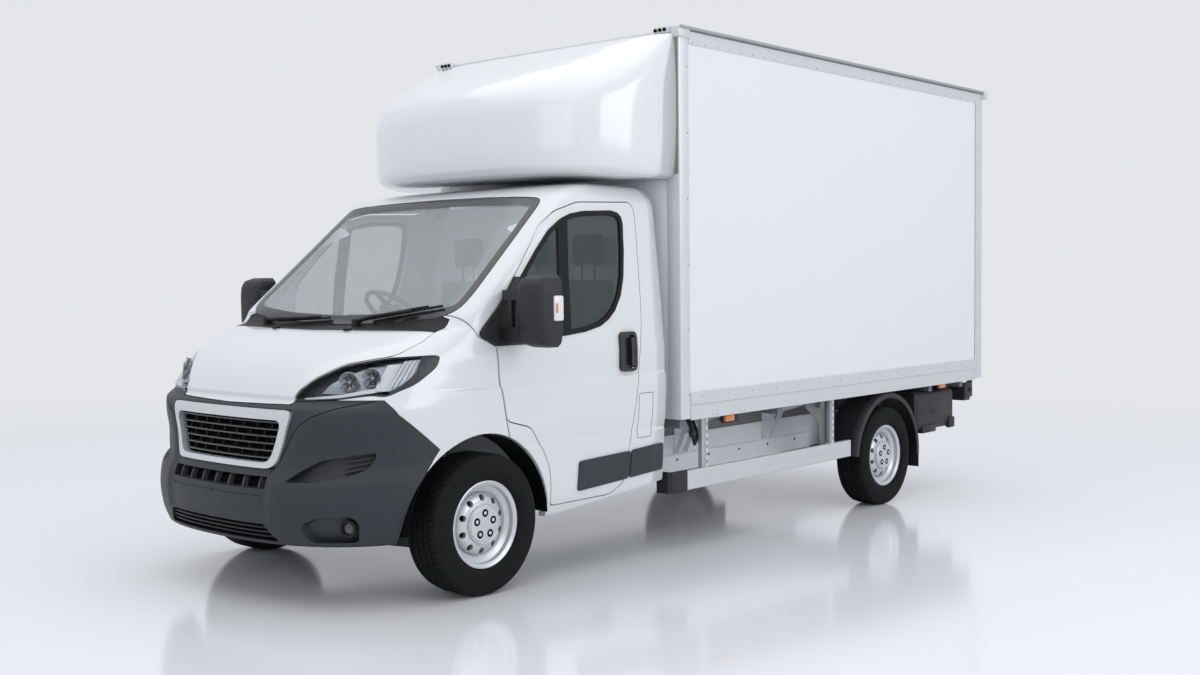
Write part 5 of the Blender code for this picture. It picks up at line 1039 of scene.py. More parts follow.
def build_fairing():
    bottom, top, nose, rear, half, step = 2.17, 3.048, 0.66, 1.5537, 1.044, 0.02
    flat_start, corner_points = 0.75, 52
    deep = rear - nose
    shares = []
    for low, high in zip(FAIRING_LEVELS, FAIRING_LEVELS[1:]):
        count = max(2, math.ceil(math.hypot((high[0] - low[0]) * 0.88, (high[1] - low[1]) * 0.9) / step))
        shares += [low[0] + (high[0] - low[0]) * k / count for k in range(count)]
    shares = np.array(shares + [FAIRING_LEVELS[-1][0]])
    table = [steady_curve(FAIRING_LEVELS[:, 0], FAIRING_LEVELS[:, k], shares) for k in (1, 2, 3)]
    rows = []
    for share, start, wide, sharp in zip(shares, *table):
        front = nose + deep * start
        x, y = corner(half * wide, front + (rear - front) * flat_start, front, sharp, corner_points)
        z = bottom + (top - bottom) * share
        right = [(a, b, z) for a, b in zip(np.append(x, half * wide), np.append(y, rear))]
        rows.append([(-a, b, c) for a, b, c in reversed(right[1:])] + right)
    made = present("fairing_shell", loft(rows, closed=False), "fairing_gelcoat", replaces="fairing", sharp=50)
    wall = made.modifiers.new("wall", "SOLIDIFY")
    wall.thickness, wall.offset = bpy.context.scene.van_looks.fairing_wall, -1


# Wheels and tyres
def build_wheels():
    edge, seat, well, rim, face = 0.089, 0.203, 0.17, 0.221, 0.052
    profile = [(-edge, rim), (-edge + 0.006, seat), (-0.045, seat), (-0.031, well), (0.04, well), (0.053, seat),
        (edge - 0.008, seat), (edge - 0.003, rim - 0.008), (edge, rim), (edge + 0.005, rim + 0.001),
        (edge + 0.007, rim - 0.004), (edge + 0.004, rim - 0.012), (edge - 0.003, seat - 0.004),
        (0.06, seat - 0.006), (0.046, 0.174), (0.026, 0.171), (0.026, 0.163), (0.048, 0.155), (0.06, 0.14),
        (0.066, 0.128), (0.068, 0.115), (0.07, 0.104), (0.078, 0.09), (0.08, 0.083), (0.081, 0.0001),
        (face, 0.0001), (face, 0.095), (0.046, 0.127), (0.02, 0.158), (0.014, well - 0.006),
        (-0.036, well - 0.006), (-0.05, seat - 0.006), (-edge + 0.002, seat - 0.006)]
    wheel = turned(profile, 80)
    holes = round_repeat(moved(turned([(0.0, 0.0001), (0.09, 0.0001), (0.09, 0.0165), (0.0, 0.0165)], 20),
            (0.01, 0, 0.1345)), 10, "wheel_silver")
    wheel = cut(wheel, holes)
    cap = turned([(0.078, 0.0001), (0.089, 0.0001), (0.089, 0.04), (0.088, 0.085), (0.086, 0.093), (0.083, 0.094),
            (0.083, 0.097), (0.085, 0.1), (0.082, 0.104), (0.076, 0.105), (0.07, 0.103)], 80)
    bolts = round_repeat(moved(turned([(0.084, 0.0001), (0.0925, 0.0001), (0.0925, 0.006), (0.09, 0.0105),
                (0.084, 0.0105)], 6), (0, 0, 0.058)), 5, "wheel_silver")
    # Dark discs round the bolts on the cap: painted shade in the bolts' recesses.
    dots = round_repeat(moved(turned([(0.084, 0.0001), (0.09, 0.0001), (0.0902, 0.018), (0.0895, 0.0205),
                (0.084, 0.0205)], 18), (0, 0, 0.058)), 5, "black_plastic")
    tread = [(-0.1125, 0.29), (-0.1118, 0.265), (-0.106, 0.245), (-0.094, 0.2275), (-0.085, 0.222),
        (-0.0835, 0.2085), (-0.05, 0.2085), (0.05, 0.2085), (0.0835, 0.2085), (0.085, 0.222), (0.094, 0.2275),
        (0.1035, 0.242), (0.105, 0.2405), (0.107, 0.246), (0.1118, 0.265), (0.1125, 0.29), (0.1115, 0.312),
        (0.1095, 0.316), (0.1085, 0.327), (0.106, 0.34), (0.101, 0.349), (0.093, 0.3555)]
    crown = [(0.093, 0.3555)]
    for groove in (0.066, 0.026, -0.018, -0.058):
        crown += [(groove + 0.006, 0.3605), (groove + 0.004, 0.353), (groove - 0.004, 0.353),
            (groove - 0.006, 0.3605)]
    crown += [(-0.093, 0.3555), (-0.101, 0.349), (-0.106, 0.34), (-0.1095, 0.316)]
    tyre = turned(tread + crown[1:], 96)
    sipes = []
    for low, high, half, base, lift, slant, count in ((0.072, 0.12, 0.0022, -0.006, 0.3575, 0, 72),
        (-0.12, -0.064, 0.0022, -0.006, 0.3575, 0, 72), (-0.052, 0.06, 0.0018, -0.004, 0.3582, 22, 60)):
        sipe = moved(block((low, -half, base), (high, half, 0.01)), (0, 0, lift),
            Matrix.Rotation(math.radians(slant), 4, "Z"))
        sipes.append(round_repeat(sipe, count, "tyre_rubber"))
    tyre = cut(tyre, *sipes)
    for joint in ("spin_front_left", "spin_front_right", "spin_rear_left", "spin_rear_right"):
        corner = joint.replace("spin_", "")
        place = Matrix.Translation(JOINTS[joint]["pos_m"])
        if corner.endswith("right"):
            place = place @ Matrix.Rotation(math.pi, 4, "Z")
        for name, shape, finish, node in (("rim_", wheel, "wheel_silver", "wheel_" + corner),
            ("wheel_cap_", cap, "wheel_silver", ""), ("wheel_bolts_", bolts, "wheel_silver", ""),
            ("bolt_sockets_", dots, "deep_black", ""), ("tread_", tyre, "tyre_rubber", "tyre_" + corner)):
            present(name + corner, shape.copy(), finish, "wheel_" + corner, node, place=place, sharp=32)
    for shape in (wheel, cap, bolts, dots, tyre):
        shape.free()


# Box body
BOX_HALF, BOX_FRONT, BOX_REAR, BOX_LOW, BOX_TOP = 1.044, 1.554, 5.502, 0.757, 3.048


def rivet(size):
    """A domed rivet head whose back lies on the plane X = 0."""
    return turned([(0, 0.0001), (size * 0.42, 0.0001), (size * 0.36, size * 0.5), (size * 0.15, size * 0.85),
            (0, size)], 10, closed=False)


def build_box():
    half, front, rear, low, top = BOX_HALF, BOX_FRONT, BOX_REAR, BOX_LOW, BOX_TOP
    post = [(half, front + 0.088), (half, front + 0.014), (half - 0.004, front + 0.004), (half - 0.014, front),
        (half - 0.095, front), (half - 0.095, front + 0.006), (half - 0.02, front + 0.008),
        (half - 0.008, front + 0.02), (half - 0.008, front + 0.088)]
    present_pair("corner_post", prism(post, "Z", low, top - 0.004), "rail_alloy")
    face = block((-half + 0.094, front + 0.004, low), (half - 0.094, front + 0.02, top - 0.09), 0.002)
    present("front_wall", face, "panel_white", replaces="box_front")
    head = block((-half + 0.012, front + 0.001, top - 0.088), (half - 0.012, front + 0.03, top - 0.002), 0.006)
    sill = block((-half + 0.095, front + 0.001, low - 0.001), (half - 0.095, front + 0.02, low + 0.12), 0.004)
    present("front_rails", merged(head, sill), "rail_alloy")
    lap = [(half - 0.002, 0.838), (half + 0.0035, 0.838), (half + 0.0035, 0.9105), (half + 0.0012, 0.913),
        (half - 0.002, 0.913)]
    lip = [(half - 0.002, 0.748), (half + 0.003, 0.748), (half + 0.003, 0.786), (half - 0.002, 0.786)]
    bands = merged(prism(lap, "Y", front + 0.09, rear - 0.118), prism(lip, "Y", front + 0.09, rear - 0.118))
    line = prism([(half + 0.0008, 0.8365), (half + 0.0032, 0.8365), (half + 0.0032, 0.8385),
            (half + 0.0008, 0.8385)], "Y", front + 0.09, rear - 0.118)
    present_pair("side_rail_line", line, "gutter_dark")
    present_pair("side_rail_bands", bands, "rail_alloy")
    gutter = [(half - 0.012, top - 0.006), (half + 0.014, top - 0.006), (half + 0.02, top + 0.004),
        (half + 0.016, top + 0.012), (half + 0.012, top + 0.006), (half - 0.01, top + 0.006)]
    present_pair("roof_gutter", prism(gutter, "Y", front - 0.004, rear + 0.01), "gutter_grey")
    strip = [(half - 0.002, top - 0.014), (half + 0.004, top - 0.014), (half + 0.004, top - 0.007),
        (half - 0.002, top - 0.007)]
    present_pair("gutter_shadow", prism(strip, "Y", front, rear), "gutter_dark")
    end = block((half - 0.045, rear - 0.004, top - 0.05), (half + 0.022, rear + 0.052, top + 0.014), 0.006)
    cap = block((half - 0.075, front - 0.008, top - 0.058), (half + 0.01, front + 0.1, top + 0.016), 0.01, 3)
    present_pair("roof_corner_caps", merged(end, cap), "rail_alloy")
    bracket = block((half - 0.165, front - 0.03, top - 0.03), (half - 0.06, front + 0.004, top + 0.01), 0.004)
    present_pair("roof_fitting", bracket, "rail_alloy")
    studs = repeated(moved(turned([(0, 0.0001), (0.01, 0.0001), (0.01, 0.01), (0, 0.01)], 14),
            (half - 0.148, front - 0.03, top - 0.01), Matrix.Rotation(math.radians(-90), 4, "Z")), 3,
        (0.034, 0, 0), "deep_black")
    present_pair("roof_fitting_studs", studs, "deep_black")
    looks = bpy.context.scene.van_looks
    rows = []
    for size, x, y, z, count, along, up in ((looks.rail_rivet, half + 0.0035, front + 0.2, 0.882, 15, 0.262, 0),
        (looks.rail_rivet, half + 0.0025, front + 0.3, 0.766, 13, 0.29, 0),
        (looks.rail_rivet, half + 0.0025, front + 0.345, 0.766, 13, 0.29, 0),
        (looks.rail_rivet, half, front + 0.13, 2.972, 31, 0.123, 0),
        (looks.post_rivet, half, front + 0.074, 0.9, 6, 0, 0.385), (looks.post_rivet, half, rear - 0.093, 0.86, 7,
            0, 0.345)):
        rows.append(repeated(moved(rivet(size), (x, y, z)), count, (0, along, up), "rivet_grey"))
    present_pair("box_rivets", merged(*rows), "rivet_grey", sharp=60)
    # A dark block in the gap between the fairing and the box's front, as painted shade where the gap lies in shadow.
    gap = block((half - 0.034, front - 0.006, 2.2), (half - 0.01, front + 0.001, top - 0.06))
    present_pair("fairing_gap", gap, "gutter_dark")
    seam = [(half - 0.001, rear - 0.1165), (half + 0.0008, rear - 0.1165), (half + 0.0008, rear - 0.1145),
        (half - 0.001, rear - 0.1145)]
    present_pair("rear_post_seam", prism(seam, "Z", low, top - 0.09), "gutter_dark")


def build_rear():
    slat = [(-0.01, 0.0), (-0.018, 0.006), (-0.02, 0.036), (-0.018, 0.066), (-0.01, 0.072), (-0.004, 0.072),
        (-0.004, 0.0)]
    shape = prism([(BOX_REAR - 0.03 + y, 0.8085 + z) for y, z in slat], "X", -0.925, 0.925)
    present("shutter_slats", repeated(shape, 27, (0, 0, 0.0745), "shutter_white"), "shutter_white",
        replaces="roller_shutter", sharp=50)
    joint = BOX_REAR + 0.0283
    ribs = repeated(block((-0.893, joint + 0.0295, 0.835), (-0.886, joint + 0.034, 2.062), 0.001, 1), 25,
        (0.074, 0, 0), "mill_aluminium")
    edges = merged(block((-0.899, joint + 0.028, 0.828), (0.899, joint + 0.036, 0.852), 0.003),
        block((-0.899, joint + 0.028, 2.044), (0.899, joint + 0.036, 2.07), 0.003))
    present("platform_ribs", merged(ribs, edges), "mill_aluminium", "lift_platform")
    foot = block((0.911, BOX_REAR + 0.001, 0.7), (0.955, BOX_REAR + 0.03, 0.8), 0.006)
    present_pair("lift_foot", foot, "black_steel", "lift_carriage")
    for name, finish, x0, x1 in (("red", "lamp_red", 0.7, 0.8), ("amber", "amber_lens", 0.802, 0.862),
        ("white", "indicator_lens", 0.864, 0.9), ("brake", "lamp_red", 0.902, 0.956)):
        lens = block((x0, 5.448, 0.604), (x1, 5.466, 0.676), 0.006, 3)
        present_pair("rear_lamp_" + name, lens, finish)
    ends = block((0.945, 5.33, 0.6), (0.985, 5.475, 0.722), 0.012)
    boss = moved(turned([(0, 0.0001), (0.012, 0.0001), (0.012, 0.018), (0, 0.02)], 20), (0.985, 5.425, 0.662))
    strut = block((0.9, 5.36, 0.7), (0.93, 5.39, 0.757), 0.003)
    present_pair("beam_ends", merged(ends, boss, strut), "black_steel")


# Guards, mudguards, power pack and chassis details
WHEEL_ARC = (4.0418, 0.2764)


def build_guards():
    face, low, high = 1.0, 0.323, 0.44
    rail = [(face, low + 0.004), (face, high - 0.004), (face - 0.004, high), (face - 0.03, high),
        (face - 0.03, high - 0.006), (face - 0.006, high - 0.006), (face - 0.006, low + 0.006),
        (face - 0.03, low + 0.006), (face - 0.03, low), (face - 0.004, low)]
    bead = [(face - 0.001, low + 0.052), (face + 0.0015, low + 0.053), (face + 0.0015, low + 0.057),
        (face - 0.001, low + 0.058)]
    present_pair("guard_rail", merged(prism(rail, "Y", 1.655, 3.54), prism(bead, "Y", 1.655, 3.54)),
        "mill_aluminium", replaces="side_guard_{}")
    plan = [(face + 0.004, 1.66), (face + 0.004, 1.56), (face - 0.006, 1.53), (face - 0.03, 1.512),
        (face - 0.11, 1.506), (face - 0.11, 1.52), (face - 0.036, 1.526), (face - 0.014, 1.542),
        (face - 0.008, 1.565), (face - 0.008, 1.66)]
    present_pair("guard_cap", prism(plan, "Z", low - 0.006, high + 0.005), "mirror_plastic")
    for index, place, wide in ((1, 1.868, 0.026), (2, 3.318, 0.012)):
        number = "_%d" % index
        upright = block((face - 0.046, place - wide - 0.012, 0.355), (face - 0.016, place + 0.012, 0.757), 0.002,
            1)
        present_pair("guard_upright" + number, upright, "galvanised")
        strip = block((face - 0.016, place - 0.004, 0.355), (face - 0.012, place + 0.02, 0.757), 0.001, 1)
        present_pair("guard_strip" + number, strip, "rail_alloy")
        # Dark patches on the strip stand in for its slots: painted shade in the slots.
        slots = repeated(block((face - 0.013, place + 0.004, 0.462), (face - 0.0115, place + 0.012, 0.482)), 6,
            (0, 0, 0.046), "deep_black")
        present_pair("guard_slots" + number, slots, "deep_black")
    gusset = [(0.757, 3.02), (0.757, 3.3), (0.36, 3.3), (0.36, 3.24), (0.6, 3.2), (0.7, 3.05)]
    plate = prism([(y, z) for z, y in gusset], "X", face - 0.06, face - 0.054)
    present_pair("guard_plate", plate, "galvanised_dark")


def build_mudguards():
    y0 = WHEEL_ARC[0]
    section = [(0.782, 0.0), (1.01, 0.0), (1.017, -0.003), (1.02, -0.01), (1.02, -0.04), (1.015, -0.04),
        (1.014, -0.01), (1.008, -0.006), (0.782, -0.006)]
    flap = block((0.782, y0 + 0.452, 0.144), (1.018, y0 + 0.46, 0.365), 0.003)
    # The mudguard is one plastic: its shell takes the darker black as painted shade and its lip a lighter copy as a
    # painted highlight.
    present_pair("mudguard_shell", merged(swept(section, WHEEL_ARC, 0.461, -5, 180, 48), flap), "black_plastic",
        sharp=40)
    lip = [(0.972, 0.0002), (1.0105, 0.0022), (1.0215, -0.004), (1.0225, -0.036), (1.0202, -0.036),
        (1.0202, -0.01), (1.01, 0.0), (0.972, -0.001)]
    present_pair("mudguard_lip", swept(lip, WHEEL_ARC, 0.461, -5, 180, 48), "mudguard_plastic", sharp=40)
    stay = merged(block((0.601, y0 - 0.02, 0.667), (0.8, y0 + 0.02, 0.676), 0.002),
        block((0.785, y0 - 0.02, 0.667), (0.795, y0 + 0.02, 0.735), 0.002))
    present_pair("mudguard_stay", stay, "galvanised", replaces="mudguard_{}")
    liner = [(0.82, 0.0), (0.985, 0.0), (0.985, -0.004), (0.82, -0.004)]
    present_pair("arch_liner", swept(liner, ARCH_CENTRE, 0.481, 3, 172, 40), "deep_black", sharp=40)


def build_power_pack():
    shape = block((0.7, 4.53, 0.395), (0.978, 5.165, 0.7), 0.045, 4)
    ledge = block((0.9, 4.62, 0.378), (0.99, 4.84, 0.44), 0.012)
    latch = block((0.974, 4.78, 0.52), (0.986, 4.87, 0.532), 0.004)
    upper_latch = block((0.974, 4.78, 0.548), (0.984, 4.85, 0.556), 0.003)
    rim = block((0.69, 4.522, 0.382), (0.972, 4.545, 0.692), 0.008)
    lug = block((0.955, 5.05, 0.385), (0.992, 5.15, 0.47), 0.012)
    present("power_pack_case", merged(shape, ledge, latch, upper_latch, rim, lug), "mirror_plastic",
        replaces="power_pack")


def build_chassis_details():
    flange = [(0.6005, 0.358), (0.61, 0.356), (0.61, 0.462), (0.606, 0.466), (0.6005, 0.466)]
    top = [(0.6005, 0.58), (0.612, 0.58), (0.612, 0.592), (0.6005, 0.592)]
    present_pair("rail_flanges", merged(prism(flange, "Y", 1.445, 3.62), prism(top, "Y", 1.445, 5.28)),
        "rail_grey")
    holes = repeated(moved(turned([(0, 0.0001), (0.003, 0.0001), (0.003, 0.008), (0, 0.008)], 12),
            (0.609, 1.72, 0.43)), 6, (0, 0.34, 0), "deep_black")
    present_pair("rail_bolts", holes, "deep_black", slot="black_steel")
    shapes = []
    for place in (2.04, 3.02):
        outline = [(0.601, 0.475), (0.7, 0.7), (0.96, 0.752), (0.96, 0.735), (0.72, 0.66), (0.64, 0.475)]
        shapes.append(prism(outline, "Y", place, place + 0.006))
        shapes.append(prism(outline, "Y", place + 0.09, place + 0.096))
        back = [(0.601, 0.475), (0.607, 0.475), (0.607, 0.7), (0.601, 0.7)]
        shapes.append(prism(back, "Y", place, place + 0.096))
    present_pair("outrigger_brackets", merged(*shapes), "rail_grey")
    lamps = [block((0.985, y - 0.045, z - 0.022), (1.012, y + 0.045, z + 0.022), 0.008, 3) for y,
        z in ((2.09, 0.722), (4.9, 0.735))]
    present_pair("side_markers", merged(*lamps), "amber_lens")
    backs = [block((0.945, y - 0.02, z - 0.034), (0.99, y + 0.125, z + 0.022), 0.006) for y,
        z in ((2.09, 0.722), (4.9, 0.735))]
    present_pair("side_marker_brackets", merged(*backs), "mirror_plastic")
    bundle = []
    for sag, side in ((0.585, 0.0), (0.6, 0.012), (0.622, -0.01)):
        route = curve_through([(0.935 + side, 1.75, 0.742), (0.955 + side, 1.76, 0.69), (0.962 + side, 1.78, sag),
                (0.955 + side, 1.81, sag + 0.02), (0.93 + side, 1.835, 0.66), (0.9, 1.84, 0.742)], 8)
        bundle.append(tube(route, 0.007, 8))
    wrap = tube([(0.957, 1.765, 0.665), (0.962, 1.772, 0.635)], 0.022, 14)
    present("wiring_bundle", merged(*bundle, wrap), "wiper_black")


# Cab interior
def build_interior():
    top = [(0.1, 1.3), (0.16, 1.338), (0.3, 1.352), (0.42, 1.345), (0.455, 1.318), (0.47, 1.26), (0.462, 1.16),
        (0.43, 1.02), (0.4, 0.985), (0.36, 0.985), (0.36, 1.262), (0.1, 1.262)]
    shape = prism(rounded(top, 0.03, 4), "X", -0.86, 0.86)
    made = as_object("dash", shape)
    boolean(made, hull(0.053, 0.9, 1.5), "INTERSECT")
    hood = block((-0.6, 0.36, 1.335), (-0.25, 0.462, 1.395), 0.03, 4)
    centre = block((-0.14, 0.4, 1.04), (0.14, 0.482, 1.33), 0.02, 3)
    vents = repeated(block((-0.115, 0.478, 1.255), (-0.02, 0.488, 1.262)), 5, (0, 0, 0.012), "black_plastic")
    present("dash_shell", merged(taken(made), hood, centre, vents, copied(vents, -1)), "dash_plastic",
        replaces="dashboard", sharp=40)
    tilt = math.radians(40)
    middle = Vector((-0.42, 0.62, 1.4))
    frame_turn = Matrix.Translation(middle) @ Matrix.Rotation(-tilt, 4, "X")
    rim = bmesh.new()
    rows = []
    for k in range(64):
        turn = math.tau * k / 64
        out = Vector((math.cos(turn), math.sin(turn), 0))
        rows.append([rim.verts.new(out * (0.195 + 0.0155 * math.cos(a)) + Vector((0, 0,
                    0.0155 * math.sin(a)))) for a in (math.tau * j / 14 for j in range(14))])
    for row, after in zip(rows, rows[1:] + rows[:1]):
        for j in range(14):
            rim.faces.new((row[j], row[(j + 1) % 14], after[(j + 1) % 14], after[j]))
    bmesh.ops.recalc_face_normals(rim, faces=rim.faces)
    spokes = [tube([(0.05 * math.cos(a), 0.05 * math.sin(a), -0.004),
                (0.188 * math.cos(a), 0.188 * math.sin(a), 0.0)], [0.02, 0.013], 12) for a in (0.15,
            math.pi - 0.15, math.pi * 1.5)]
    hub = block((-0.085, -0.075, -0.03), (0.085, 0.065, 0.014), 0.024, 4)
    column = tube([(0, 0, -0.02), (0, 0, -0.19)], 0.03, 16)
    shape = merged(rim, hub, column, *spokes)
    present("steering_wheel_rim", moved(shape, (0, 0, 0), frame_turn), "handle_black", "steering_wheel",
        replaces="steering_wheel", sharp=50)


PAD_INSET = 0.01


def pad_shape(width, outline):
    """A pad before it is stuffed: a side outline across a width, rounded at its ends and a little small."""
    rings, width = [], width - 2 * PAD_INSET
    for share in (-1, -0.97, -0.88, -0.7, -0.35, 0, 0.35, 0.7, 0.88, 0.97, 1):
        pull = 0.022 * (1 - math.sqrt(max(0, 1 - ((abs(share) - 0.7) / 0.3) ** 2)) if abs(share) > 0.7 else 0)
        rings.append([(share * width / 2, y, z) for y, z in rounded(grown(outline, -pull - PAD_INSET), 0.045, 5)])
    return loft(rings)


def puffed(bm):
    """Swell a pad by cloth simulation under a little pressure, and keep every point within a cap."""
    voxel, pressure, cap, quality, last = 0.012, 4.0, bpy.context.scene.van_looks.pad_swell, 4, 20
    made = as_object("pad", bm)
    change = made.modifiers.new("even", "REMESH")
    change.mode, change.voxel_size = "VOXEL", voxel
    settled(made)
    rest = [vertex.co.copy() for vertex in made.data.vertices]
    cloth = made.modifiers.new("stuffing", "CLOTH")
    cloth.settings.use_pressure = True
    cloth.settings.uniform_pressure_force = pressure
    cloth.settings.effector_weights.gravity = 0
    cloth.settings.quality = quality
    cloth.point_cache.frame_start, cloth.point_cache.frame_end = 1, last
    for step in range(1, last + 1):
        bpy.context.scene.frame_set(step)
    settled(made)
    for vertex, start in zip(made.data.vertices, rest):
        shift = vertex.co - start
        if shift.length > cap:
            vertex.co = start + shift * (cap / shift.length)
    bpy.context.scene.frame_set(1)
    smooth = made.modifiers.new("smooth", "SUBSURF")
    smooth.levels = smooth.render_levels = 1
    return taken(settled(made))


def build_seats():
    cushion = [(0.69, 0.86), (0.7, 0.935), (0.76, 0.95), (1.06, 0.93), (1.06, 0.83), (0.72, 0.82)]
    back = [(1.06, 0.96), (1.075, 1.1), (1.165, 1.6), (1.2, 1.615), (1.265, 1.6), (1.245, 1.3), (1.17, 0.96)]
    rest = [(1.19, 1.655), (1.185, 1.83), (1.2, 1.865), (1.27, 1.865), (1.285, 1.8), (1.27, 1.655)]
    seats = (("driver", -0.42, 0.47, (0,)), ("passenger", 0.381, 0.9, (-0.23, 0.23)))
    for name, middle, width, rests in seats:
        wide = width / len(rests) - 0.012
        node = "seat_" + name
        for k, part in enumerate(rests):
            for label, outline, across in (("cushion", cushion, wide), ("back", back, wide),
                ("headrest", rest, 0.25)):
                shape = moved(puffed(pad_shape(across, outline)), (middle + part, 0, 0))
                made = present("seat_%s_%s_%d" % (label, name, k + 1), shape, "seat_cloth", replaces=node,
                    sharp=80)
                node = ""
        rods = [tube([(middle + part + dx, 1.225, 1.57), (middle + part + dx, 1.232, 1.69)], 0.006,
                8) for part in rests for dx in (-0.05, 0.05)]
        left, right = middle - width / 2, middle + width / 2
        frame_box = block((left + 0.02, 0.8, 0.583), (right - 0.02, 1.18, 0.825), 0.015)
        present("seat_base_" + name, merged(frame_box, *rods), "black_steel")


# Stage
def camera_matrix(azimuth, down, roll):
    """The camera's turn, from its bearing round the van, its dip and its roll."""
    back = Vector((math.sin(azimuth) * math.cos(down), -math.cos(azimuth) * math.cos(down), math.sin(down)))
    level = Vector((math.cos(azimuth), math.sin(azimuth), 0))
    rise = back.cross(level)
    right = level * math.cos(roll) + rise * math.sin(roll)
    up = rise * math.cos(roll) - level * math.sin(roll)
    return Matrix((right, up, back)).transposed().to_4x4()


def soft_light(name, place, aim, size, power):
    data = bpy.data.lights.new(name, "AREA")
    data.shape = "RECTANGLE"
    data.size, data.size_y = size
    data.energy = power
    made = bpy.data.objects.new(name, data)
    bpy.context.scene.collection.objects.link(made)
    made.location = place
    made.rotation_mode = "QUATERNION"
    made.rotation_quaternion = (Vector(aim) - Vector(place)).to_track_quat("-Z", "Y")
    return made


STUDIO_SHADE = (0.775, 0.79, 0.82, 1)
STUDIO_LIGHT = (0.93, 0.95, 1.0, 1)
FADE_FROM, FADE_TO = 5.0, 15.0
FLOOR_SIZE = 60


def seen_directly(tree):
    """A value that is 1 for what the camera sees, straight or through glass."""
    path, seen = tree.nodes.new("ShaderNodeLightPath"), math_node(tree, "ShaderNodeMath", "MAXIMUM")
    wired(tree, (path, "Is Camera Ray", seen, 0), (path, "Is Transmission Ray", seen, 1))
    return seen


def fade_floor(material):
    """Let the far floor pass into the pale background, for what the camera and glass see."""
    tree = material.node_tree
    place, span, glow, mix = (tree.nodes.new("ShaderNode" + kind) for kind in ("TexCoord", "MapRange", "Emission",
            "MixShader"))
    reach = math_node(tree, "ShaderNodeVectorMath", "LENGTH")
    share = math_node(tree, "ShaderNodeMath", "MULTIPLY")
    span.interpolation_type = "SMOOTHSTEP"
    span.inputs["From Min"].default_value = FADE_FROM
    span.inputs["From Max"].default_value = FADE_TO
    glow.inputs["Color"].default_value = STUDIO_SHADE
    wired(tree, (place, "Object", reach, 0), (reach, "Value", span, "Value"), (span, "Result", share, 0),
        (seen_directly(tree), "Value", share, 1), (share, "Value", mix, "Fac"),
        (tree.nodes["Principled BSDF"], "BSDF", mix, 1), (glow, "Emission", mix, 2),
        (mix, "Shader", tree.nodes["Material Output"], "Surface"))


def build_stage():
    scene = bpy.context.scene
    settings = scene.van_stage
    data = bpy.data.cameras.new("view")
    camera = bpy.data.objects.new("view", data)
    scene.collection.objects.link(camera)
    data.sensor_width = 36
    data.lens = settings.lens
    place = Vector(settings.camera_place) + Vector((0, AXLE_Y, 0))
    camera.matrix_world = Matrix.Translation(place) @ camera_matrix(settings.camera_azimuth, settings.camera_dip,
        settings.camera_roll)
    scene.camera = camera
    world = scene.world = bpy.data.worlds.new("studio")
    world.use_nodes = True
    tree = world.node_tree
    back = tree.nodes["Background"]
    back.inputs["Color"].default_value = STUDIO_LIGHT
    back.inputs["Strength"].default_value = settings.world_strength
    shown, mix = tree.nodes.new("ShaderNodeBackground"), tree.nodes.new("ShaderNodeMixShader")
    shown.inputs["Color"].default_value = STUDIO_SHADE
    wired(tree, (seen_directly(tree), "Value", mix, "Fac"), (back, "Background", mix, 1),
        (shown, "Background", mix, 2), (mix, "Shader", tree.nodes["World Output"], "Surface"))
    bm = bmesh.new()
    bmesh.ops.create_grid(bm, x_segments=1, y_segments=1, size=FLOOR_SIZE)
    floor = as_object("floor", bm)
    floor.data.materials.append(finish_of("studio_floor"))
    fade_floor(finish_of("studio_floor"))
    soft_light("light_above", (0, -1, 7.5), (0, 0, 1), (9, 12), settings.top_power)
    soft_light("light_front", (3.5, -9.5, 4.2), (0, -1, 1.2), (6, 4), settings.front_power)
    soft_light("light_side", (9.5, 0.5, 4.5), (0, 0.5, 1.2), (8, 4), settings.side_power)
    scene.view_settings.view_transform = "Standard"


# The add-on's classes
class StageSizes(bpy.types.PropertyGroup):
    """Where the camera stands and how bright the studio is."""

    camera_place: bpy.props.FloatVectorProperty(
        name="Camera place", description="Camera position, measured from the front axle's middle on the ground",
        default=(5.8119, -4.5856, 1.5055), subtype="XYZ", unit="LENGTH")
    camera_azimuth: bpy.props.FloatProperty(
        name="Camera bearing", description="Bearing of the camera round the van, from straight ahead",
        default=math.radians(41.46), subtype="ANGLE")
    camera_dip: bpy.props.FloatProperty(
        name="Camera dip", description="How far the camera looks down", default=math.radians(1.72),
        subtype="ANGLE")
    camera_roll: bpy.props.FloatProperty(
        name="Camera roll", description="Turn of the camera about its own line of sight",
        default=math.radians(0.23), subtype="ANGLE")
    lens: bpy.props.FloatProperty(
        name="Lens", description="Focal length on a sensor 36 mm wide, in millimetres", default=39.62)
    world_strength: bpy.props.FloatProperty(
        name="World strength", description="Brightness of the studio all round the van", default=0.83)
    top_power: bpy.props.FloatProperty(
        name="Top light", description="Power of the wide light above", default=230.0, subtype="POWER")
    front_power: bpy.props.FloatProperty(
        name="Front light", description="Power of the soft light ahead of the cab", default=60.0, subtype="POWER")
    side_power: bpy.props.FloatProperty(
        name="Side light", description="Power of the soft light beside the box", default=205.0, subtype="POWER")


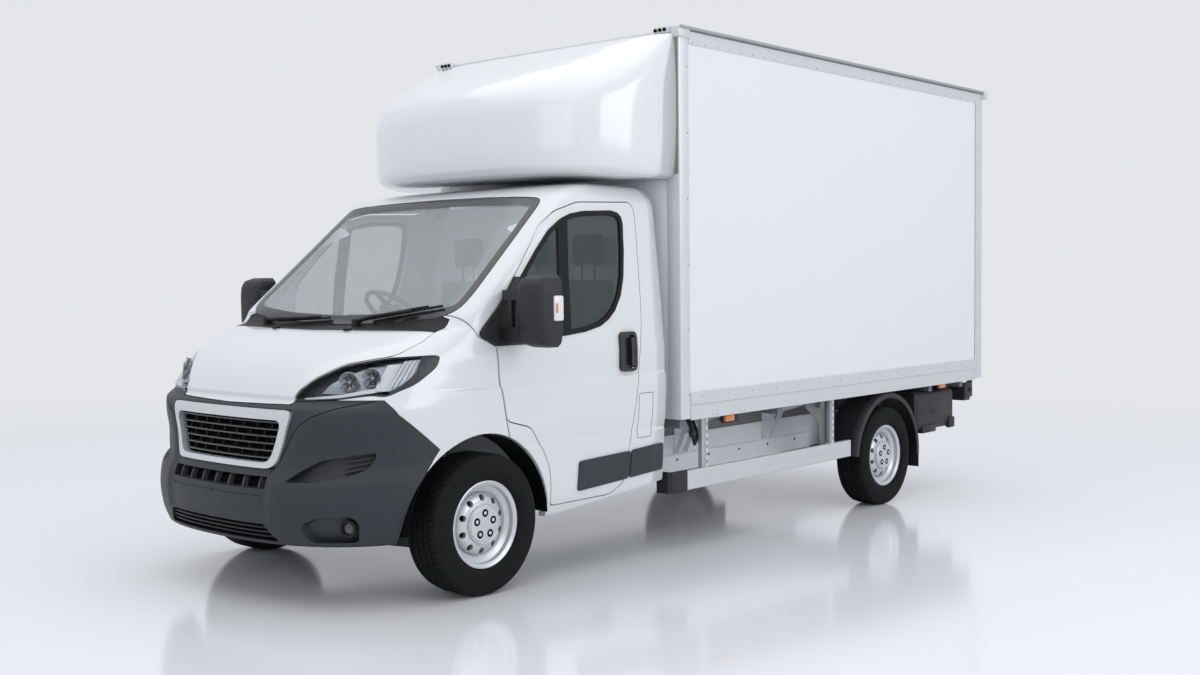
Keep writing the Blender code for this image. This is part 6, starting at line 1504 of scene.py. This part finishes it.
class VanLooks(bpy.types.PropertyGroup):
    """Colours and fine sizes that a user would change; a colour has the name of its finish."""

    white_paint: bpy.props.FloatVectorProperty(
        name="Cab paint", description="Colour of the cab's painted panels",
        default=FINISHES["white_paint"][1], subtype="COLOR")
    panel_white: bpy.props.FloatVectorProperty(
        name="Box panels", description="Colour of the box's side panels and front wall",
        default=FINISHES["panel_white"][1], subtype="COLOR")
    fairing_gelcoat: bpy.props.FloatVectorProperty(
        name="Fairing", description="Colour of the fairing over the cab",
        default=FINISHES["fairing_gelcoat"][1], subtype="COLOR")
    slate_plastic: bpy.props.FloatVectorProperty(
        name="Bumper plastic", description="Colour of the bumper and the rub strips",
        default=FINISHES["slate_plastic"][1], subtype="COLOR")
    seal_width: bpy.props.FloatProperty(
        name="Window seal", description="Width of the door windows' black seal", default=0.024, unit="LENGTH")
    fairing_wall: bpy.props.FloatProperty(
        name="Fairing wall", description="Thickness of the fairing's shell", default=0.006, unit="LENGTH")
    rail_rivet: bpy.props.FloatProperty(
        name="Rail rivets", description="Height of the rivets along the box's rails", default=0.0055,
        unit="LENGTH")
    post_rivet: bpy.props.FloatProperty(
        name="Post rivets", description="Height of the rivets up the box's posts", default=0.006, unit="LENGTH")
    pad_swell: bpy.props.FloatProperty(
        name="Seat stuffing", description="Farthest that the stuffing pushes a seat's cover out", default=0.014,
        unit="LENGTH")


def operator(step, label, words, maker):
    """An operator that makes one group of pieces."""
    def execute(self, context):
        maker()
        return {"FINISHED"}
    return type("VAN_OT_" + step, (bpy.types.Operator,), {"__doc__": words, "bl_idname": "van." + step,
            "bl_label": label, "execute": execute})


STEPS = {
    "stage": ("Stage", "Make the floor, the soft lights and the camera.", build_stage),
    "paint": ("Finishes", "Give every solid node that stays in view its own finish.", paint_nodes),
    "cab_skin": ("Cab skin", "Make the cab's panels, glass and seals.", build_cab_skin),
    "headlamps": ("Headlamps", "Make the headlamps.", build_headlamps),
    "bumper": ("Bumper", "Make the bumper with its vents and fog lamps.", build_bumper),
    "grille": ("Grille", "Make the grille's surround and mesh.", build_grille),
    "mirrors": ("Mirrors", "Make the door mirrors.", build_mirrors),
    "door_fittings": ("Door fittings", "Make the handles, rub strips and filler flap.", build_door_fittings),
    "wipers": ("Wipers", "Make the wipers, jets and screen sensor.", build_wipers),
    "fairing": ("Fairing", "Make the fairing over the cab.", build_fairing),
    "wheels": ("Wheels", "Make the wheels and tyres.", build_wheels),
    "box": ("Box", "Make the box's posts, rails, gutters and rivets.", build_box),
    "rear": ("Rear", "Make the shutter's slats, the platform's ribs and the rear lamps.", build_rear),
    "guards": ("Side guards", "Make the side guards with their uprights.", build_guards),
    "mudguards": ("Mudguards", "Make the mudguards and the arch liners.", build_mudguards),
    "power_pack": ("Power pack", "Make the lift's power pack.", build_power_pack),
    "chassis_details": ("Chassis details", "Make the flanges, brackets, markers and wiring.", build_chassis_details),
    "interior": ("Interior", "Make the dashboard and the steering wheel.", build_interior),
    "seats": ("Seats", "Make the padded seats.", build_seats),
}


class VAN_PT_panel(bpy.types.Panel):
    """Lists the van's steps, sizes and colours."""

    bl_label = "Box van"
    bl_idname = "VAN_PT_panel"
    bl_space_type = "VIEW_3D"
    bl_region_type = "UI"
    bl_category = "Box van"

    def draw(self, context):
        for step in STEPS:
            self.layout.operator("van." + step)
        for group in (context.scene.van_stage, context.scene.van_looks):
            for key in type(group).__annotations__:
                self.layout.prop(group, key)


CLASSES = (StageSizes, VanLooks, VAN_PT_panel, *(operator(step, *facts) for step, facts in STEPS.items()))


def register():
    for kind in CLASSES:
        bpy.utils.register_class(kind)
    bpy.types.Scene.van_stage = bpy.props.PointerProperty(type=StageSizes)
    bpy.types.Scene.van_looks = bpy.props.PointerProperty(type=VanLooks)


def unregister():
    del bpy.types.Scene.van_stage, bpy.types.Scene.van_looks
    for kind in reversed(CLASSES):
        bpy.utils.unregister_class(kind)


def main():
    register()
    for step in STEPS:
        getattr(bpy.ops.van, step)()


if __name__ == "__main__":
    main()
